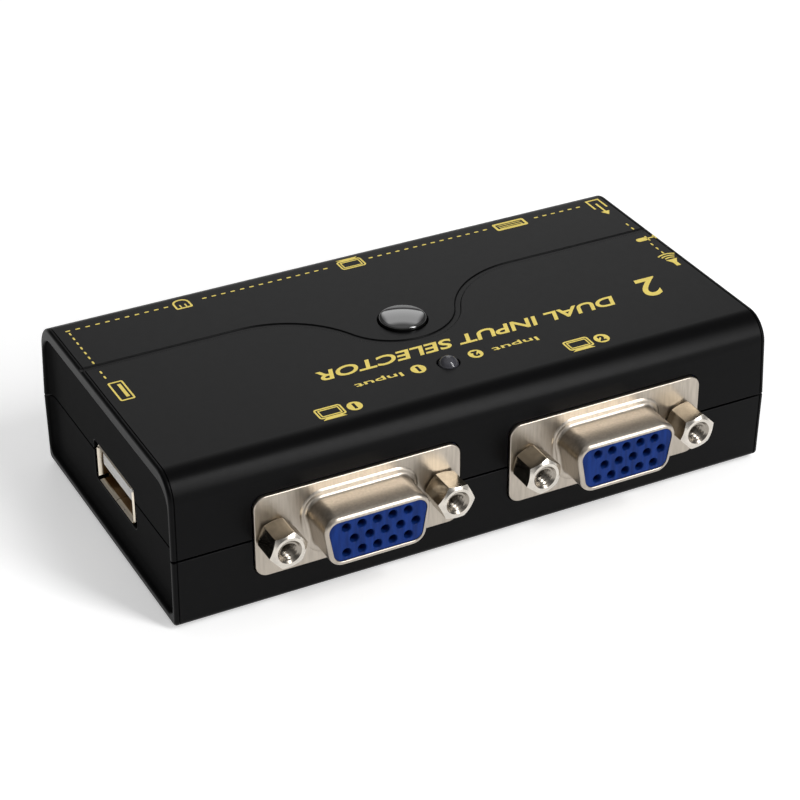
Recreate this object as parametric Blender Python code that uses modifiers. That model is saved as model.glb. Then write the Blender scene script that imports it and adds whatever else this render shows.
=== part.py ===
"""A small desktop KVM switch: one screen, keyboard and mouse shared between two computers.

Metres, +Z up. The origin is the centre of the footprint, on the surface that the feet stand on.
+X is towards the end with the audio jacks, -Y towards the two video inputs.
"""

import math

import bmesh
import bpy
from mathutils import Matrix, Vector

MM = 0.001
GAP = 0.3 * MM  # between neighbouring pieces
OVERLAP = 1.0 * MM  # how far a joined or cutting shape reaches into the piece it changes
THROUGH = 20 * MM  # a cutter's length where it goes right through

# Case, measured at the line where its covers meet. Both covers draw in away from that line.
CASE_LENGTH = 92.1 * MM
CASE_DEPTH = 48.7 * MM
CASE_BOTTOM = 1.0 * MM
CASE_HEIGHT = 22.6 * MM
CASE_TOP = CASE_BOTTOM + CASE_HEIGHT
PARTING = CASE_BOTTOM + 10.3 * MM
END_DRAFT = math.radians(1.3)
SIDE_DRAFT = math.radians(2.0)
TOP_EDGE_RADIUS = 3.0 * MM
BOTTOM_EDGE_RADIUS = 2.4 * MM
BOTTOM_END_RADIUS = 1.0 * MM
SIDE_WALL = 1.8 * MM
END_WALL = 2.3 * MM
PANEL_DEPTH = 0.8 * MM  # each end has a panel set back inside a rim
RIM_SIDE = 1.3 * MM
RIM_TOP = 2.0 * MM
RIM_BOTTOM = 1.6 * MM
LIP_HEIGHT = 1.0 * MM
LIP_THICKNESS = 0.6 * MM
LIP_ROOT = 6.0 * MM  # the wall is this much thicker inside, down from the parting line
PANEL_RADIUS = 2.0 * MM
END_CHAMFER = 0.3 * MM
INNER_RADIUS = 1.2 * MM
WINDOW_REACH = 3.5 * MM  # how far in from the side a window's cutter goes
END_PANEL_X = CASE_LENGTH / 2 - PANEL_DEPTH - 0.1 * MM  # mouths in the ends, just inside the panels

# Groove across the top: straight, then an S down to the button's front side, and the same mirrored.
GROOVE_WIDTH = 1.2 * MM
GROOVE_DEPTH = 0.45 * MM
GROOVE_STRAIGHT_Y = 7.9 * MM
GROOVE_OUTER_RADIUS = 14.5 * MM
GROOVE_INNER_RADIUS = 9.6 * MM
GROOVE_TURN = math.radians(65)
GROOVE_STEPS = 8  # of each arc

# Circuit board, with the case screws through its corners.
BOARD_LENGTH = 86.6 * MM
BOARD_DEPTH = 43.6 * MM
BOARD_BOTTOM = CASE_BOTTOM + 3.9 * MM
BOARD_TOP = BOARD_BOTTOM + 1.6 * MM
ON_BOARD = BOARD_TOP + GAP
SCREW_X = 39.4 * MM
SCREW_Y = 17.6 * MM
SCREW_RADIUS = 1.1 * MM
SCREW_HEAD_RADIUS = 2.3 * MM
SCREW_HEAD_HEIGHT = 1.4 * MM
SCREW_HEAD_CHAMFER = 0.5 * MM
SCREW_TIP = CASE_BOTTOM + 14.0 * MM
SCREW_POINT_LENGTH = 1.2 * MM
SCREW_POINT_RADIUS = 0.45 * MM
CROSS_LENGTH = 2.4 * MM
CROSS_WIDTH = 0.5 * MM
CROSS_DEPTH = 0.9 * MM
COUNTERBORE_RADIUS = 2.7 * MM
COUNTERBORE_DEPTH = 2.2 * MM
LOWER_BOSS_RADIUS = 3.7 * MM
UPPER_BOSS_RADIUS = 2.9 * MM
FOOT_X = 31.0 * MM
FOOT_Y = 15.0 * MM
FOOT_RADIUS = 4.0 * MM
FOOT_RECESS = 0.6 * MM
FOOT_CHAMFER = 0.4 * MM

# Push button and the tactile switch under it.
BUTTON_RADIUS = 3.65 * MM
BUTTON_RISE = 1.25 * MM
BUTTON_EDGE_RISE = 0.15 * MM  # where the cap's dome begins, above the case
BUTTON_COLLAR_RADIUS = 4.8 * MM
BUTTON_COLLAR_THICKNESS = 1.0 * MM
BUTTON_SOCKET_RADIUS = 1.6 * MM
GUIDE_RADIUS = 5.1 * MM
GUIDE_BOTTOM = CASE_TOP - 4.6 * MM
SWITCH_WIDTH = 6.0 * MM
SWITCH_BODY_HEIGHT = 3.5 * MM
SWITCH_BODY_TOP = ON_BOARD + SWITCH_BODY_HEIGHT
SWITCH_COVER_SEAT = 0.6 * MM  # the moulded body ends this far below the metal cover's top
SWITCH_FLOOR = ON_BOARD + 0.6 * MM
SWITCH_CAVITY_RADIUS = 2.5 * MM
PLUNGER_RADIUS = 1.7 * MM
PLUNGER_CHAMFER = 0.2 * MM
PLUNGER_TOP = SWITCH_BODY_TOP + 2.2 * MM
PLUNGER_COLLAR_RADIUS = 2.2 * MM
PLUNGER_COLLAR_THICKNESS = 0.6 * MM
PLUNGER_NUB_RADIUS = 0.8 * MM
PLUNGER_NUB_BOTTOM = SWITCH_FLOOR + 1.5 * MM
SNAP_DOME_RADIUS = 2.1 * MM
SNAP_DOME_CROWN = 0.28 * MM
SNAP_DOME_THICKNESS = 0.12 * MM

# Status light, a 3 mm LED standing on its leads.
LED_Y = -13.8 * MM
LED_RADIUS = 1.5 * MM
LED_RISE = 1.0 * MM
LED_FLANGE_RADIUS = 1.9 * MM
LED_FLANGE_THICKNESS = 1.0 * MM
LED_BODY_HEIGHT = 5.3 * MM
LED_LEAD_SPACING = 2.54 * MM
LED_LEAD_WIDTH = 0.5 * MM

# Fifteen-pin video socket, of the standard size that also sets the scale of everything else.
VIDEO_CENTRE_Z = CASE_BOTTOM + 10.57 * MM
VIDEO_IN_X = 19.3 * MM
VIDEO_OUT_X = 1.0 * MM
FLANGE_FACE_Y = CASE_DEPTH / 2 + 0.3 * MM
FLANGE_WIDTH = 30.8 * MM
FLANGE_HEIGHT = 12.5 * MM
FLANGE_THICKNESS = 0.8 * MM
FLANGE_RADIUS = 1.8 * MM
D_WIDTH = 16.3 * MM
D_HEIGHT = 7.9 * MM
D_SLANT = math.radians(10)
D_RADIUS = 2.2 * MM
D_REACH = 5.83 * MM
D_WALL = 0.5 * MM
PIN_PITCH = 2.29 * MM
PIN_ROW_PITCH = 1.98 * MM
PIN_ROW_SHIFTS = (-0.14 * MM, 1.01 * MM, -0.14 * MM)  # from the top row down
PINS_IN_A_ROW = 5
PIN_HOLE_RADIUS = 0.55 * MM
PIN_HOLE_DEPTH = 4.0 * MM
JACKSCREW_SPACING = 24.99 * MM
JACKSCREW_FLATS = 4.9 * MM
JACKSCREW_REACH = 4.72 * MM
JACKSCREW_BORE_RADIUS = 1.3 * MM
JACKSCREW_BORE_DEPTH = 4.0 * MM
JACKSCREW_SHANK_RADIUS = 1.4 * MM
JACKSCREW_SHANK_END = 6.5 * MM
JACKSCREW_TURNS = {
    "video_in_1_jackscrew_left": math.radians(11),
    "video_in_1_jackscrew_right": math.radians(-5),
    "video_in_2_jackscrew_left": math.radians(21),
    "video_in_2_jackscrew_right": math.radians(14),
    "video_out_jackscrew_left": math.radians(8),
    "video_out_jackscrew_right": math.radians(-17),
}
HOUSING_WIDTH = 30.4 * MM
HOUSING_DEPTH = 10.4 * MM
HOUSING_TOP = 5.8 * MM  # above the socket's centre
HOUSING_STEP_DEPTH = 0.5 * MM
HOUSING_STEP_HEIGHT = 2.4 * MM

# USB socket, type A.
USB_CENTRE_Z = CASE_BOTTOM + 8.85 * MM
USB_WIDTH = 13.1 * MM
USB_HEIGHT = 5.7 * MM
USB_WALL = 0.4 * MM
USB_DEPTH = 13.8 * MM
TONGUE_WIDTH = 11.1 * MM
TONGUE_THICKNESS = 1.84 * MM
TONGUE_BOTTOM = 0.2 * MM  # above the socket's centre
TONGUE_SETBACK = 0.9 * MM  # behind the mouth
USB_BLOCK_DEPTH = 3.6 * MM
USB_BLOCK_INSET = 0.4 * MM  # from the back end of the shell
HUB_Y = -1.0 * MM
MOUSE_X = -26.2 * MM
KEYBOARD_X = 28.3 * MM
USB_WINDOW_WIDTH = 15.4 * MM
USB_WINDOW_HEIGHT = 6.4 * MM
USB_WINDOW_RADIUS = 0.8 * MM
USB_MOUTH_Y = CASE_DEPTH / 2 - 0.1 * MM

# 3.5 mm audio jack.
JACK_CENTRE_Z = ON_BOARD + 3.0 * MM
JACK_WIDTH = 6.2 * MM
JACK_DEPTH = 11.0 * MM
JACK_NOSE_RADIUS = 3.0 * MM
JACK_NOSE_LENGTH = 2.0 * MM
JACK_FLOOR = 2.0 * MM  # bored this far behind the sleeve
SLEEVE_RADIUS = 2.2 * MM
SLEEVE_BORE_RADIUS = 1.8 * MM
SLEEVE_LENGTH = 9.0 * MM
MIC_Y = 4.1 * MM
SPEAKER_Y = -3.2 * MM

# The larger parts on the board. name: (x, y, length, depth, height, finish)
CHIPS = {
    "controller_chip": (-14 * MM, 0, 9 * MM, 9 * MM, 1.4 * MM, "chip_epoxy"),
    "video_switch_chip_1": (14 * MM, -7 * MM, 10 * MM, 4 * MM, 1.6 * MM, "chip_epoxy"),
    "video_switch_chip_2": (14 * MM, 3 * MM, 10 * MM, 4 * MM, 1.6 * MM, "chip_epoxy"),
    "crystal": (-23 * MM, -8 * MM, 11 * MM, 4.6 * MM, 3.4 * MM, "steel"),
}
CHIP_EDGE = 0.25 * MM
CAPACITORS = ((-25 * MM, 2 * MM), (25 * MM, 0))
CAPACITOR_RADIUS = 2.5 * MM
CAPACITOR_HEIGHT = 5.2 * MM
CAPACITOR_NECK_DEPTH = 0.25 * MM
CAPACITOR_NECK_HEIGHT = 0.9 * MM
CAPACITOR_NECK_WIDTH = 0.4 * MM
CAPACITOR_EDGE = 0.35 * MM

# name: (colour, roughness, metallic)
FINISHES = {
    "case_plastic": ((0.010, 0.010, 0.011), 0.45, 0.0),
    "gloss_plastic": ((0.006, 0.006, 0.006), 0.08, 0.0),
    "smoky_lens": ((0.03, 0.03, 0.035), 0.05, 0.0),
    "nickel": ((0.60, 0.57, 0.52), 0.25, 1.0),
    "blue_insulator": ((0.01, 0.035, 0.22), 0.40, 0.0),
    "pale_insulator": ((0.55, 0.54, 0.52), 0.45, 0.0),
    "black_nylon": ((0.015, 0.015, 0.015), 0.50, 0.0),
    "board_green": ((0.01, 0.09, 0.03), 0.35, 0.0),
    "chip_epoxy": ((0.02, 0.02, 0.022), 0.55, 0.0),
    "steel": ((0.45, 0.45, 0.46), 0.30, 1.0),
    "tin": ((0.62, 0.62, 0.60), 0.30, 1.0),
    "brass": ((0.70, 0.50, 0.20), 0.30, 1.0),
    "foot_rubber": ((0.02, 0.02, 0.02), 0.80, 0.0),
}


def clear_scene():
    for old in list(bpy.data.objects):
        bpy.data.objects.remove(old, do_unlink=True)


def new_collection(name):
    collection = bpy.data.collections.new(name)
    bpy.context.scene.collection.children.link(collection)
    return collection


clear_scene()
PARTS = new_collection("kvm_switch")
CUTTERS = new_collection("cutters")


def new_material(name):
    colour, roughness, metallic = FINISHES[name]
    material = bpy.data.materials.new(name)
    material.use_nodes = True
    shader = material.node_tree.nodes["Principled BSDF"]
    shader.inputs["Base Color"].default_value = (*colour, 1)
    shader.inputs["Roughness"].default_value = roughness
    shader.inputs["Metallic"].default_value = metallic
    return material


MATERIALS = {name: new_material(name) for name in FINISHES}


def make_helper(obj):
    """Turns an object into one that only shapes others."""
    PARTS.objects.unlink(obj)
    CUTTERS.objects.link(obj)
    obj.hide_render = True
    obj.display_type = "WIRE"
    return obj


def add(name, mesh, centre=(0, 0, 0), parent=None):
    obj = bpy.data.objects.new(name, mesh)
    PARTS.objects.link(obj)
    obj.location = centre
    obj.parent = parent
    return obj


def box(name, size, centre, parent=None):
    shape = bmesh.new()
    bmesh.ops.create_cube(shape, size=1)
    bmesh.ops.scale(shape, vec=size, verts=shape.verts)
    mesh = bpy.data.meshes.new(name)
    shape.to_mesh(mesh)
    shape.free()
    return add(name, mesh, centre, parent)


def drum(name, radius, depth, centre, axis="Z", sides=24, parent=None, turn=0.0):
    """A cylinder or, with few sides, a prism."""
    shape = bmesh.new()
    bmesh.ops.create_cone(
        shape, cap_ends=True, segments=sides, radius1=radius, radius2=radius, depth=depth
    )
    bmesh.ops.rotate(shape, matrix=Matrix.Rotation(turn, 3, "Z"), verts=shape.verts)
    if axis == "Y":
        bmesh.ops.rotate(shape, matrix=Matrix.Rotation(math.pi / 2, 3, "X"), verts=shape.verts)
    if axis == "X":
        bmesh.ops.rotate(shape, matrix=Matrix.Rotation(math.pi / 2, 3, "Y"), verts=shape.verts)
    mesh = bpy.data.meshes.new(name)
    shape.to_mesh(mesh)
    shape.free()
    return add(name, mesh, centre, parent)


def turned(name, profile, centre, sides=24, parent=None):
    """A shape turned about Z from (radius, height) points that run down its outer side."""
    mesh = bpy.data.meshes.new(name)
    points = [(radius, 0, height) for radius, height in profile]
    mesh.from_pydata(points, [(i, i + 1) for i in range(len(points) - 1)], [])
    obj = add(name, mesh, centre, parent)
    screw = obj.modifiers.new("turn", "SCREW")
    screw.steps = screw.render_steps = sides
    screw.use_merge_vertices = True
    screw.merge_threshold = 0.00001
    screw.use_smooth_shade = False
    return obj


def rounded_outline(corners, radius, steps=4):
    """A polygon, counter-clockwise, with each of its corners made an arc of so many steps."""
    corners = [Vector(corner) for corner in corners]
    points = []
    for i, corner in enumerate(corners):
        into = (corner - corners[i - 1]).normalized()
        out = (corners[(i + 1) % len(corners)] - corner).normalized()
        turn = math.acos(max(-1.0, min(1.0, into.dot(out))))
        start = corner - into * radius * math.tan(turn / 2)
        centre = start + Vector((-into.y, into.x)) * radius
        arm = start - centre
        for step in range(steps + 1):
            angle = turn * step / steps
            points.append(
                centre
                + Vector(
                    (
                        arm.x * math.cos(angle) - arm.y * math.sin(angle),
                        arm.x * math.sin(angle) + arm.y * math.cos(angle),
                    )
                )
            )
    return points


def rectangle(width, height):
    x, y = width / 2, height / 2
    return [(-x, -y), (x, -y), (x, y), (-x, y)]


def plate(name, outline, thickness, centre, facing="Z", parent=None):
    """A flat outline given thickness. Facing Y, the outline lies in X and Z, and facing X in Y and Z."""
    curve = bpy.data.curves.new(name, "CURVE")
    curve.dimensions = "2D"
    curve.fill_mode = "BOTH"
    curve.extrude = thickness / 2
    line = curve.splines.new("POLY")
    line.points.add(len(outline) - 1)
    for point, (x, y) in zip(line.points, outline):
        point.co = (x, y, 0, 1)
    line.use_cyclic_u = True
    drawn = add(name + "_outline", curve)
    bpy.context.view_layer.update()
    graph = bpy.context.evaluated_depsgraph_get()
    mesh = bpy.data.meshes.new_from_object(drawn.evaluated_get(graph))
    bpy.data.objects.remove(drawn, do_unlink=True)
    shape = bmesh.new()
    shape.from_mesh(mesh)
    bmesh.ops.remove_doubles(shape, verts=shape.verts, dist=1e-6)
    if facing != "Z":
        bmesh.ops.rotate(shape, matrix=Matrix.Rotation(math.pi / 2, 3, "X"), verts=shape.verts)
    if facing == "X":
        bmesh.ops.rotate(shape, matrix=Matrix.Rotation(math.pi / 2, 3, "Z"), verts=shape.verts)
    shape.to_mesh(mesh)
    shape.free()
    mesh.name = name
    return add(name, mesh, centre, parent)


def combine(target, others, operation):
    for other in others:
        modifier = target.modifiers.new(other.name, "BOOLEAN")
        modifier.operation = operation
        modifier.solver = "EXACT"
        modifier.object = other if other.hide_render else make_helper(other)
    return target


def cut(target, *cutters):
    return combine(target, cutters, "DIFFERENCE")


def join(target, *additions):
    return combine(target, additions, "UNION")


def finish(obj, material, smooth_degrees=0):
    obj.data.materials.clear()
    obj.data.materials.append(MATERIALS[material])
    if smooth_degrees:
        obj.data.shade_smooth()
        obj.data.set_sharp_from_angle(angle=math.radians(smooth_degrees))
    return obj


def socket_frame(name, x, y, z, turn_degrees):
    """An empty that faces a socket's pieces outwards: they are modelled facing -Y, from its origin back."""
    frame = bpy.data.objects.new(name, None)
    PARTS.objects.link(frame)
    frame.location = (x, y, z)
    frame.rotation_euler = (0, 0, math.radians(turn_degrees))
    return frame


# The case.

TOP_FROM = PARTING + GAP / 2
BOTTOM_TO = PARTING - GAP / 2


def tapered_block(name, inset_x, inset_y, near_z, far_z, edge_radius, steps, end_radius=0.0):
    """A block that draws in from the parting height towards far_z, with its far long edges rounded."""
    side = 1 if far_z > near_z else -1

    def half_length(z):
        return CASE_LENGTH / 2 - inset_x - max(0, side * (z - PARTING)) * math.tan(END_DRAFT)

    def half_depth(z):
        return CASE_DEPTH / 2 - inset_y - max(0, side * (z - PARTING)) * math.tan(SIDE_DRAFT)

    shape = bmesh.new()
    bmesh.ops.create_cube(shape, size=1)
    for vertex in shape.verts:
        z = far_z if side * vertex.co.z > 0 else near_z
        vertex.co = (
            math.copysign(half_length(z), vertex.co.x),
            math.copysign(half_depth(z), vertex.co.y),
            z,
        )
    long_edges = [
        edge
        for edge in shape.edges
        if all(abs(vertex.co.z - far_z) < 1e-7 for vertex in edge.verts)
        and abs(edge.verts[0].co.x - edge.verts[1].co.x) > CASE_LENGTH / 2
    ]
    bmesh.ops.bevel(
        shape, geom=long_edges, offset=edge_radius, segments=steps, profile=0.5, affect="EDGES"
    )
    if end_radius:
        end_edges = [
            edge
            for edge in shape.edges
            if all(abs(vertex.co.x) > half_length(vertex.co.z) - 1e-6 for vertex in edge.verts)
            and edge.verts[0].co.x * edge.verts[1].co.x > 0
            and any(abs(vertex.co.z - near_z) > 1e-7 for vertex in edge.verts)
        ]
        bmesh.ops.bevel(
            shape, geom=end_edges, offset=end_radius, segments=1, profile=0.5, affect="EDGES"
        )
    mesh = bpy.data.meshes.new(name)
    shape.to_mesh(mesh)
    shape.free()
    return add(name, mesh)


def lip_block(name, clearance, low, high):
    """What the bottom cover's lip fills, or with a clearance what the top cover leaves for it."""
    length = CASE_LENGTH - 2 * (END_WALL - LIP_THICKNESS - clearance)
    depth = CASE_DEPTH - 2 * (SIDE_WALL - LIP_THICKNESS - clearance)
    return box(name, (length, depth, high - low), (0, 0, (low + high) / 2))


def panel_cutters():
    """The recesses in the two ends."""
    low, high = CASE_BOTTOM + RIM_BOTTOM, CASE_TOP - RIM_TOP
    outline = rounded_outline(rectangle(CASE_DEPTH - 2 * RIM_SIDE, high - low), PANEL_RADIUS)
    return [
        plate(
            "panel_recess", outline, 2 * PANEL_DEPTH, (side * CASE_LENGTH / 2, 0, (low + high) / 2), "X"
        )
        for side in (-1, 1)
    ]


def window_cutters():
    """The openings that the sockets show through."""
    flange = rounded_outline(
        rectangle(FLANGE_WIDTH + 2 * GAP, FLANGE_HEIGHT + 2 * GAP), FLANGE_RADIUS + GAP
    )
    front, back = -CASE_DEPTH / 2, CASE_DEPTH / 2
    cutters = [
        plate("video_window", flange, 2 * WINDOW_REACH, (x, y, VIDEO_CENTRE_Z), "Y")
        for x, y in ((-VIDEO_IN_X, front), (VIDEO_IN_X, front), (VIDEO_OUT_X, back))
    ]
    usb = rounded_outline(rectangle(USB_WINDOW_WIDTH, USB_WINDOW_HEIGHT), USB_WINDOW_RADIUS, 2)
    cutters += [
        plate("usb_window", usb, 2 * WINDOW_REACH, (x, back, USB_CENTRE_Z), "Y")
        for x in (MOUSE_X, KEYBOARD_X)
    ]
    hub_mouth = (-CASE_LENGTH / 2, HUB_Y, USB_CENTRE_Z)
    cutters.append(plate("hub_window", usb, 2 * WINDOW_REACH, hub_mouth, "X"))
    jack_hole = JACK_NOSE_RADIUS + GAP
    cutters += [
        drum("jack_hole", jack_hole, 2 * WINDOW_REACH, (CASE_LENGTH / 2, y, JACK_CENTRE_Z), "X")
        for y in (MIC_Y, SPEAKER_Y)
    ]
    return cutters


def groove_outline():
    """The decorative groove's centre line, half of it mirrored, widened into an outline."""
    sine, cosine = math.sin(GROOVE_TURN), math.cos(GROOVE_TURN)
    valley_x = GROOVE_INNER_RADIUS * sine  # where the inner arc hands over to the outer one
    crest_x = valley_x + GROOVE_OUTER_RADIUS * sine
    valley_y = GROOVE_STRAIGHT_Y - (GROOVE_INNER_RADIUS + GROOVE_OUTER_RADIUS) * (1 - cosine)
    half = []  # (point, direction) from the middle outwards
    for step in range(GROOVE_STEPS):
        angle = GROOVE_TURN * step / GROOVE_STEPS
        x = GROOVE_INNER_RADIUS * math.sin(angle)
        y = valley_y + GROOVE_INNER_RADIUS * (1 - math.cos(angle))
        half.append((Vector((x, y)), angle))
    for step in range(GROOVE_STEPS + 1):
        angle = GROOVE_TURN * (1 - step / GROOVE_STEPS)
        x = crest_x - GROOVE_OUTER_RADIUS * math.sin(angle)
        y = GROOVE_STRAIGHT_Y - GROOVE_OUTER_RADIUS * (1 - math.cos(angle))
        half.append((Vector((x, y)), angle))
    half.append((Vector((CASE_LENGTH, GROOVE_STRAIGHT_Y)), 0.0))
    mirrored = [(Vector((-point.x, point.y)), -angle) for point, angle in reversed(half[1:])]
    line = mirrored + half
    sides = []
    for sign in (-1, 1):
        sides.append(
            [
                point + Vector((-math.sin(angle), math.cos(angle))) * sign * GROOVE_WIDTH / 2
                for point, angle in line
            ]
        )
    return sides[0] + sides[1][::-1]


def build_top_cover():
    cover = tapered_block(
        "top_cover", 0, 0, TOP_FROM, CASE_TOP, TOP_EDGE_RADIUS, 6, END_CHAMFER
    )
    hollow = tapered_block(
        "top_hollow", END_WALL, SIDE_WALL, PARTING - OVERLAP, CASE_TOP - SIDE_WALL, INNER_RADIUS, 3
    )
    cut(cover, hollow)
    cut(cover, lip_block("lip_seat", GAP, PARTING - OVERLAP, BOTTOM_TO + LIP_HEIGHT + GAP))
    guide_height = CASE_TOP - OVERLAP - GUIDE_BOTTOM
    join(cover, drum("guide", GUIDE_RADIUS, guide_height, (0, 0, GUIDE_BOTTOM + guide_height / 2)))
    boss_height = CASE_TOP - OVERLAP - ON_BOARD
    pilot_bottom = ON_BOARD - OVERLAP
    pilot_height = SCREW_TIP + GAP - pilot_bottom
    for x, y in screw_places():
        boss = drum("boss", UPPER_BOSS_RADIUS, boss_height, (x, y, ON_BOARD + boss_height / 2), sides=16)
        pilot_centre = (x, y, pilot_bottom + pilot_height / 2)
        pilot = drum("pilot", SCREW_RADIUS + GAP, pilot_height, pilot_centre, sides=12)
        cut(join(cover, boss), pilot)
    cut(cover, drum("button_hole", BUTTON_RADIUS + GAP, THROUGH, (0, 0, CASE_TOP), sides=32))
    cut(cover, drum("led_hole", LED_RADIUS + GAP, THROUGH, (0, LED_Y, CASE_TOP), sides=20))
    cut(cover, plate("groove", groove_outline(), 2 * GROOVE_DEPTH, (0, 0, CASE_TOP)))
    cut(cover, *PANELS, *WINDOWS)
    return finish(cover, "case_plastic")


def build_bottom_cover():
    cover = tapered_block(
        "bottom_cover", 0, 0, BOTTOM_TO, CASE_BOTTOM, BOTTOM_EDGE_RADIUS, 5, END_CHAMFER
    )
    join(cover, lip_block("lip", 0, PARTING - LIP_ROOT, BOTTOM_TO + LIP_HEIGHT))
    hollow_top = PARTING + LIP_HEIGHT + OVERLAP
    hollow = tapered_block(
        "bottom_hollow", END_WALL, SIDE_WALL, hollow_top, CASE_BOTTOM + SIDE_WALL, INNER_RADIUS, 3
    )
    cut(cover, hollow)
    post_bottom = CASE_BOTTOM + OVERLAP
    post_height = BOARD_BOTTOM - GAP - post_bottom
    for x, y in screw_places():
        post_centre = (x, y, post_bottom + post_height / 2)
        post = drum("post", LOWER_BOSS_RADIUS, post_height, post_centre, sides=16)
        bore = drum("bore", SCREW_RADIUS + GAP, THROUGH, (x, y, CASE_BOTTOM), sides=12)
        seat = drum("seat", COUNTERBORE_RADIUS, 2 * COUNTERBORE_DEPTH, (x, y, CASE_BOTTOM), sides=16)
        cut(join(cover, post), bore, seat)
    for x, y in foot_places():
        cut(cover, drum("foot_seat", FOOT_RADIUS + GAP, 2 * FOOT_RECESS, (x, y, CASE_BOTTOM)))
    cut(cover, *PANELS, *WINDOWS)
    return finish(cover, "case_plastic")


def screw_places():
    return [(x * SCREW_X, y * SCREW_Y) for x in (-1, 1) for y in (-1, 1)]


def foot_places():
    return [(x * FOOT_X, y * FOOT_Y) for x in (-1, 1) for y in (-1, 1)]


def build_case_screws():
    head_top = CASE_BOTTOM + COUNTERBORE_DEPTH - GAP
    head_bottom = head_top - SCREW_HEAD_HEIGHT
    profile = [
        (0, SCREW_TIP),
        (SCREW_POINT_RADIUS, SCREW_TIP),
        (SCREW_RADIUS, SCREW_TIP - SCREW_POINT_LENGTH),
        (SCREW_RADIUS, head_top),
        (SCREW_HEAD_RADIUS, head_top),
        (SCREW_HEAD_RADIUS, head_bottom + SCREW_HEAD_CHAMFER),
        (SCREW_HEAD_RADIUS - SCREW_HEAD_CHAMFER, head_bottom),
        (0, head_bottom),
    ]
    for number, (x, y) in enumerate(screw_places(), 1):
        screw = turned(f"case_screw_{number}", profile, (x, y, 0), 16)
        for length, width in ((CROSS_LENGTH, CROSS_WIDTH), (CROSS_WIDTH, CROSS_LENGTH)):
            cut(screw, box("slot", (length, width, 2 * CROSS_DEPTH), (x, y, head_bottom)))
        finish(screw, "steel")


def build_feet():
    top = CASE_BOTTOM + FOOT_RECESS - GAP
    profile = [
        (0, top),
        (FOOT_RADIUS, top),
        (FOOT_RADIUS, FOOT_CHAMFER),
        (FOOT_RADIUS - FOOT_CHAMFER, 0),
        (0, 0),
    ]
    for number, (x, y) in enumerate(foot_places(), 1):
        finish(turned(f"rubber_foot_{number}", profile, (x, y, 0), 24), "foot_rubber", 40)


# Button and switch. The cap and the plunger travel down together.


def dome_profile(radius, base, rise, steps):
    """Points from the crown of a dome down to its edge."""
    angles = [math.pi / 2 * step / steps for step in range(steps + 1)]
    return [(radius * math.sin(angle), base + rise * math.cos(angle)) for angle in angles]


def build_button():
    collar_top = GUIDE_BOTTOM - GAP
    collar_bottom = collar_top - BUTTON_COLLAR_THICKNESS
    dome_base = CASE_TOP + BUTTON_EDGE_RISE
    profile = dome_profile(BUTTON_RADIUS, dome_base, BUTTON_RISE - BUTTON_EDGE_RISE, 6) + [
        (BUTTON_RADIUS, collar_top),
        (BUTTON_COLLAR_RADIUS, collar_top),
        (BUTTON_COLLAR_RADIUS, collar_bottom),
        (BUTTON_SOCKET_RADIUS, collar_bottom),
        (BUTTON_SOCKET_RADIUS, PLUNGER_TOP + GAP),
        (0, PLUNGER_TOP + GAP),
    ]
    finish(turned("push_button_cap", profile, (0, 0, 0), 32), "gloss_plastic", 35)


def build_switch():
    body_top = SWITCH_BODY_TOP - SWITCH_COVER_SEAT
    body = box(
        "tact_switch_body",
        (SWITCH_WIDTH, SWITCH_WIDTH, body_top - ON_BOARD),
        (0, 0, (ON_BOARD + body_top) / 2),
    )
    cavity_depth = body_top + OVERLAP - SWITCH_FLOOR
    cavity_centre = (0, 0, SWITCH_FLOOR + cavity_depth / 2)
    cut(body, drum("cavity", SWITCH_CAVITY_RADIUS, cavity_depth, cavity_centre))
    finish(body, "black_nylon")
    cover = box(
        "tact_switch_cover",
        (SWITCH_WIDTH, SWITCH_WIDTH, GAP),
        (0, 0, SWITCH_BODY_TOP - GAP / 2),
    )
    cut(cover, drum("cover_hole", PLUNGER_RADIUS + GAP, THROUGH, (0, 0, SWITCH_BODY_TOP)))
    finish(cover, "steel")
    collar_bottom = body_top - PLUNGER_COLLAR_THICKNESS
    profile = [
        (0, PLUNGER_TOP),
        (PLUNGER_RADIUS - PLUNGER_CHAMFER, PLUNGER_TOP),
        (PLUNGER_RADIUS, PLUNGER_TOP - PLUNGER_CHAMFER),
        (PLUNGER_RADIUS, body_top),
        (PLUNGER_COLLAR_RADIUS, body_top),
        (PLUNGER_COLLAR_RADIUS, collar_bottom),
        (PLUNGER_NUB_RADIUS, collar_bottom),
        (PLUNGER_NUB_RADIUS, PLUNGER_NUB_BOTTOM),
        (0, PLUNGER_NUB_BOTTOM),
    ]
    finish(turned("tact_switch_plunger", profile, (0, 0, 0), 24), "black_nylon", 35)
    under = dome_profile(SNAP_DOME_RADIUS, SWITCH_FLOOR + GAP, SNAP_DOME_CROWN, 4)
    spring = [(radius, height + SNAP_DOME_THICKNESS) for radius, height in under] + under[::-1]
    finish(turned("tact_switch_dome", spring, (0, 0, 0), 20), "steel", 35)


def build_status_led():
    top = CASE_TOP + LED_RISE
    bottom = top - LED_BODY_HEIGHT
    profile = dome_profile(LED_RADIUS, top - LED_RADIUS, LED_RADIUS, 5) + [
        (LED_RADIUS, bottom + LED_FLANGE_THICKNESS),
        (LED_FLANGE_RADIUS, bottom + LED_FLANGE_THICKNESS),
        (LED_FLANGE_RADIUS, bottom),
        (0, bottom),
    ]
    finish(turned("status_led_lens", profile, (0, LED_Y, 0), 20), "smoky_lens", 35)
    lead_top = bottom - GAP
    for name, side in (("status_led_anode", -1), ("status_led_cathode", 1)):
        lead = box(
            name,
            (LED_LEAD_WIDTH, LED_LEAD_WIDTH, lead_top - ON_BOARD),
            (side * LED_LEAD_SPACING / 2, LED_Y, (lead_top + ON_BOARD) / 2),
        )
        finish(lead, "tin")


# Video sockets.


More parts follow.
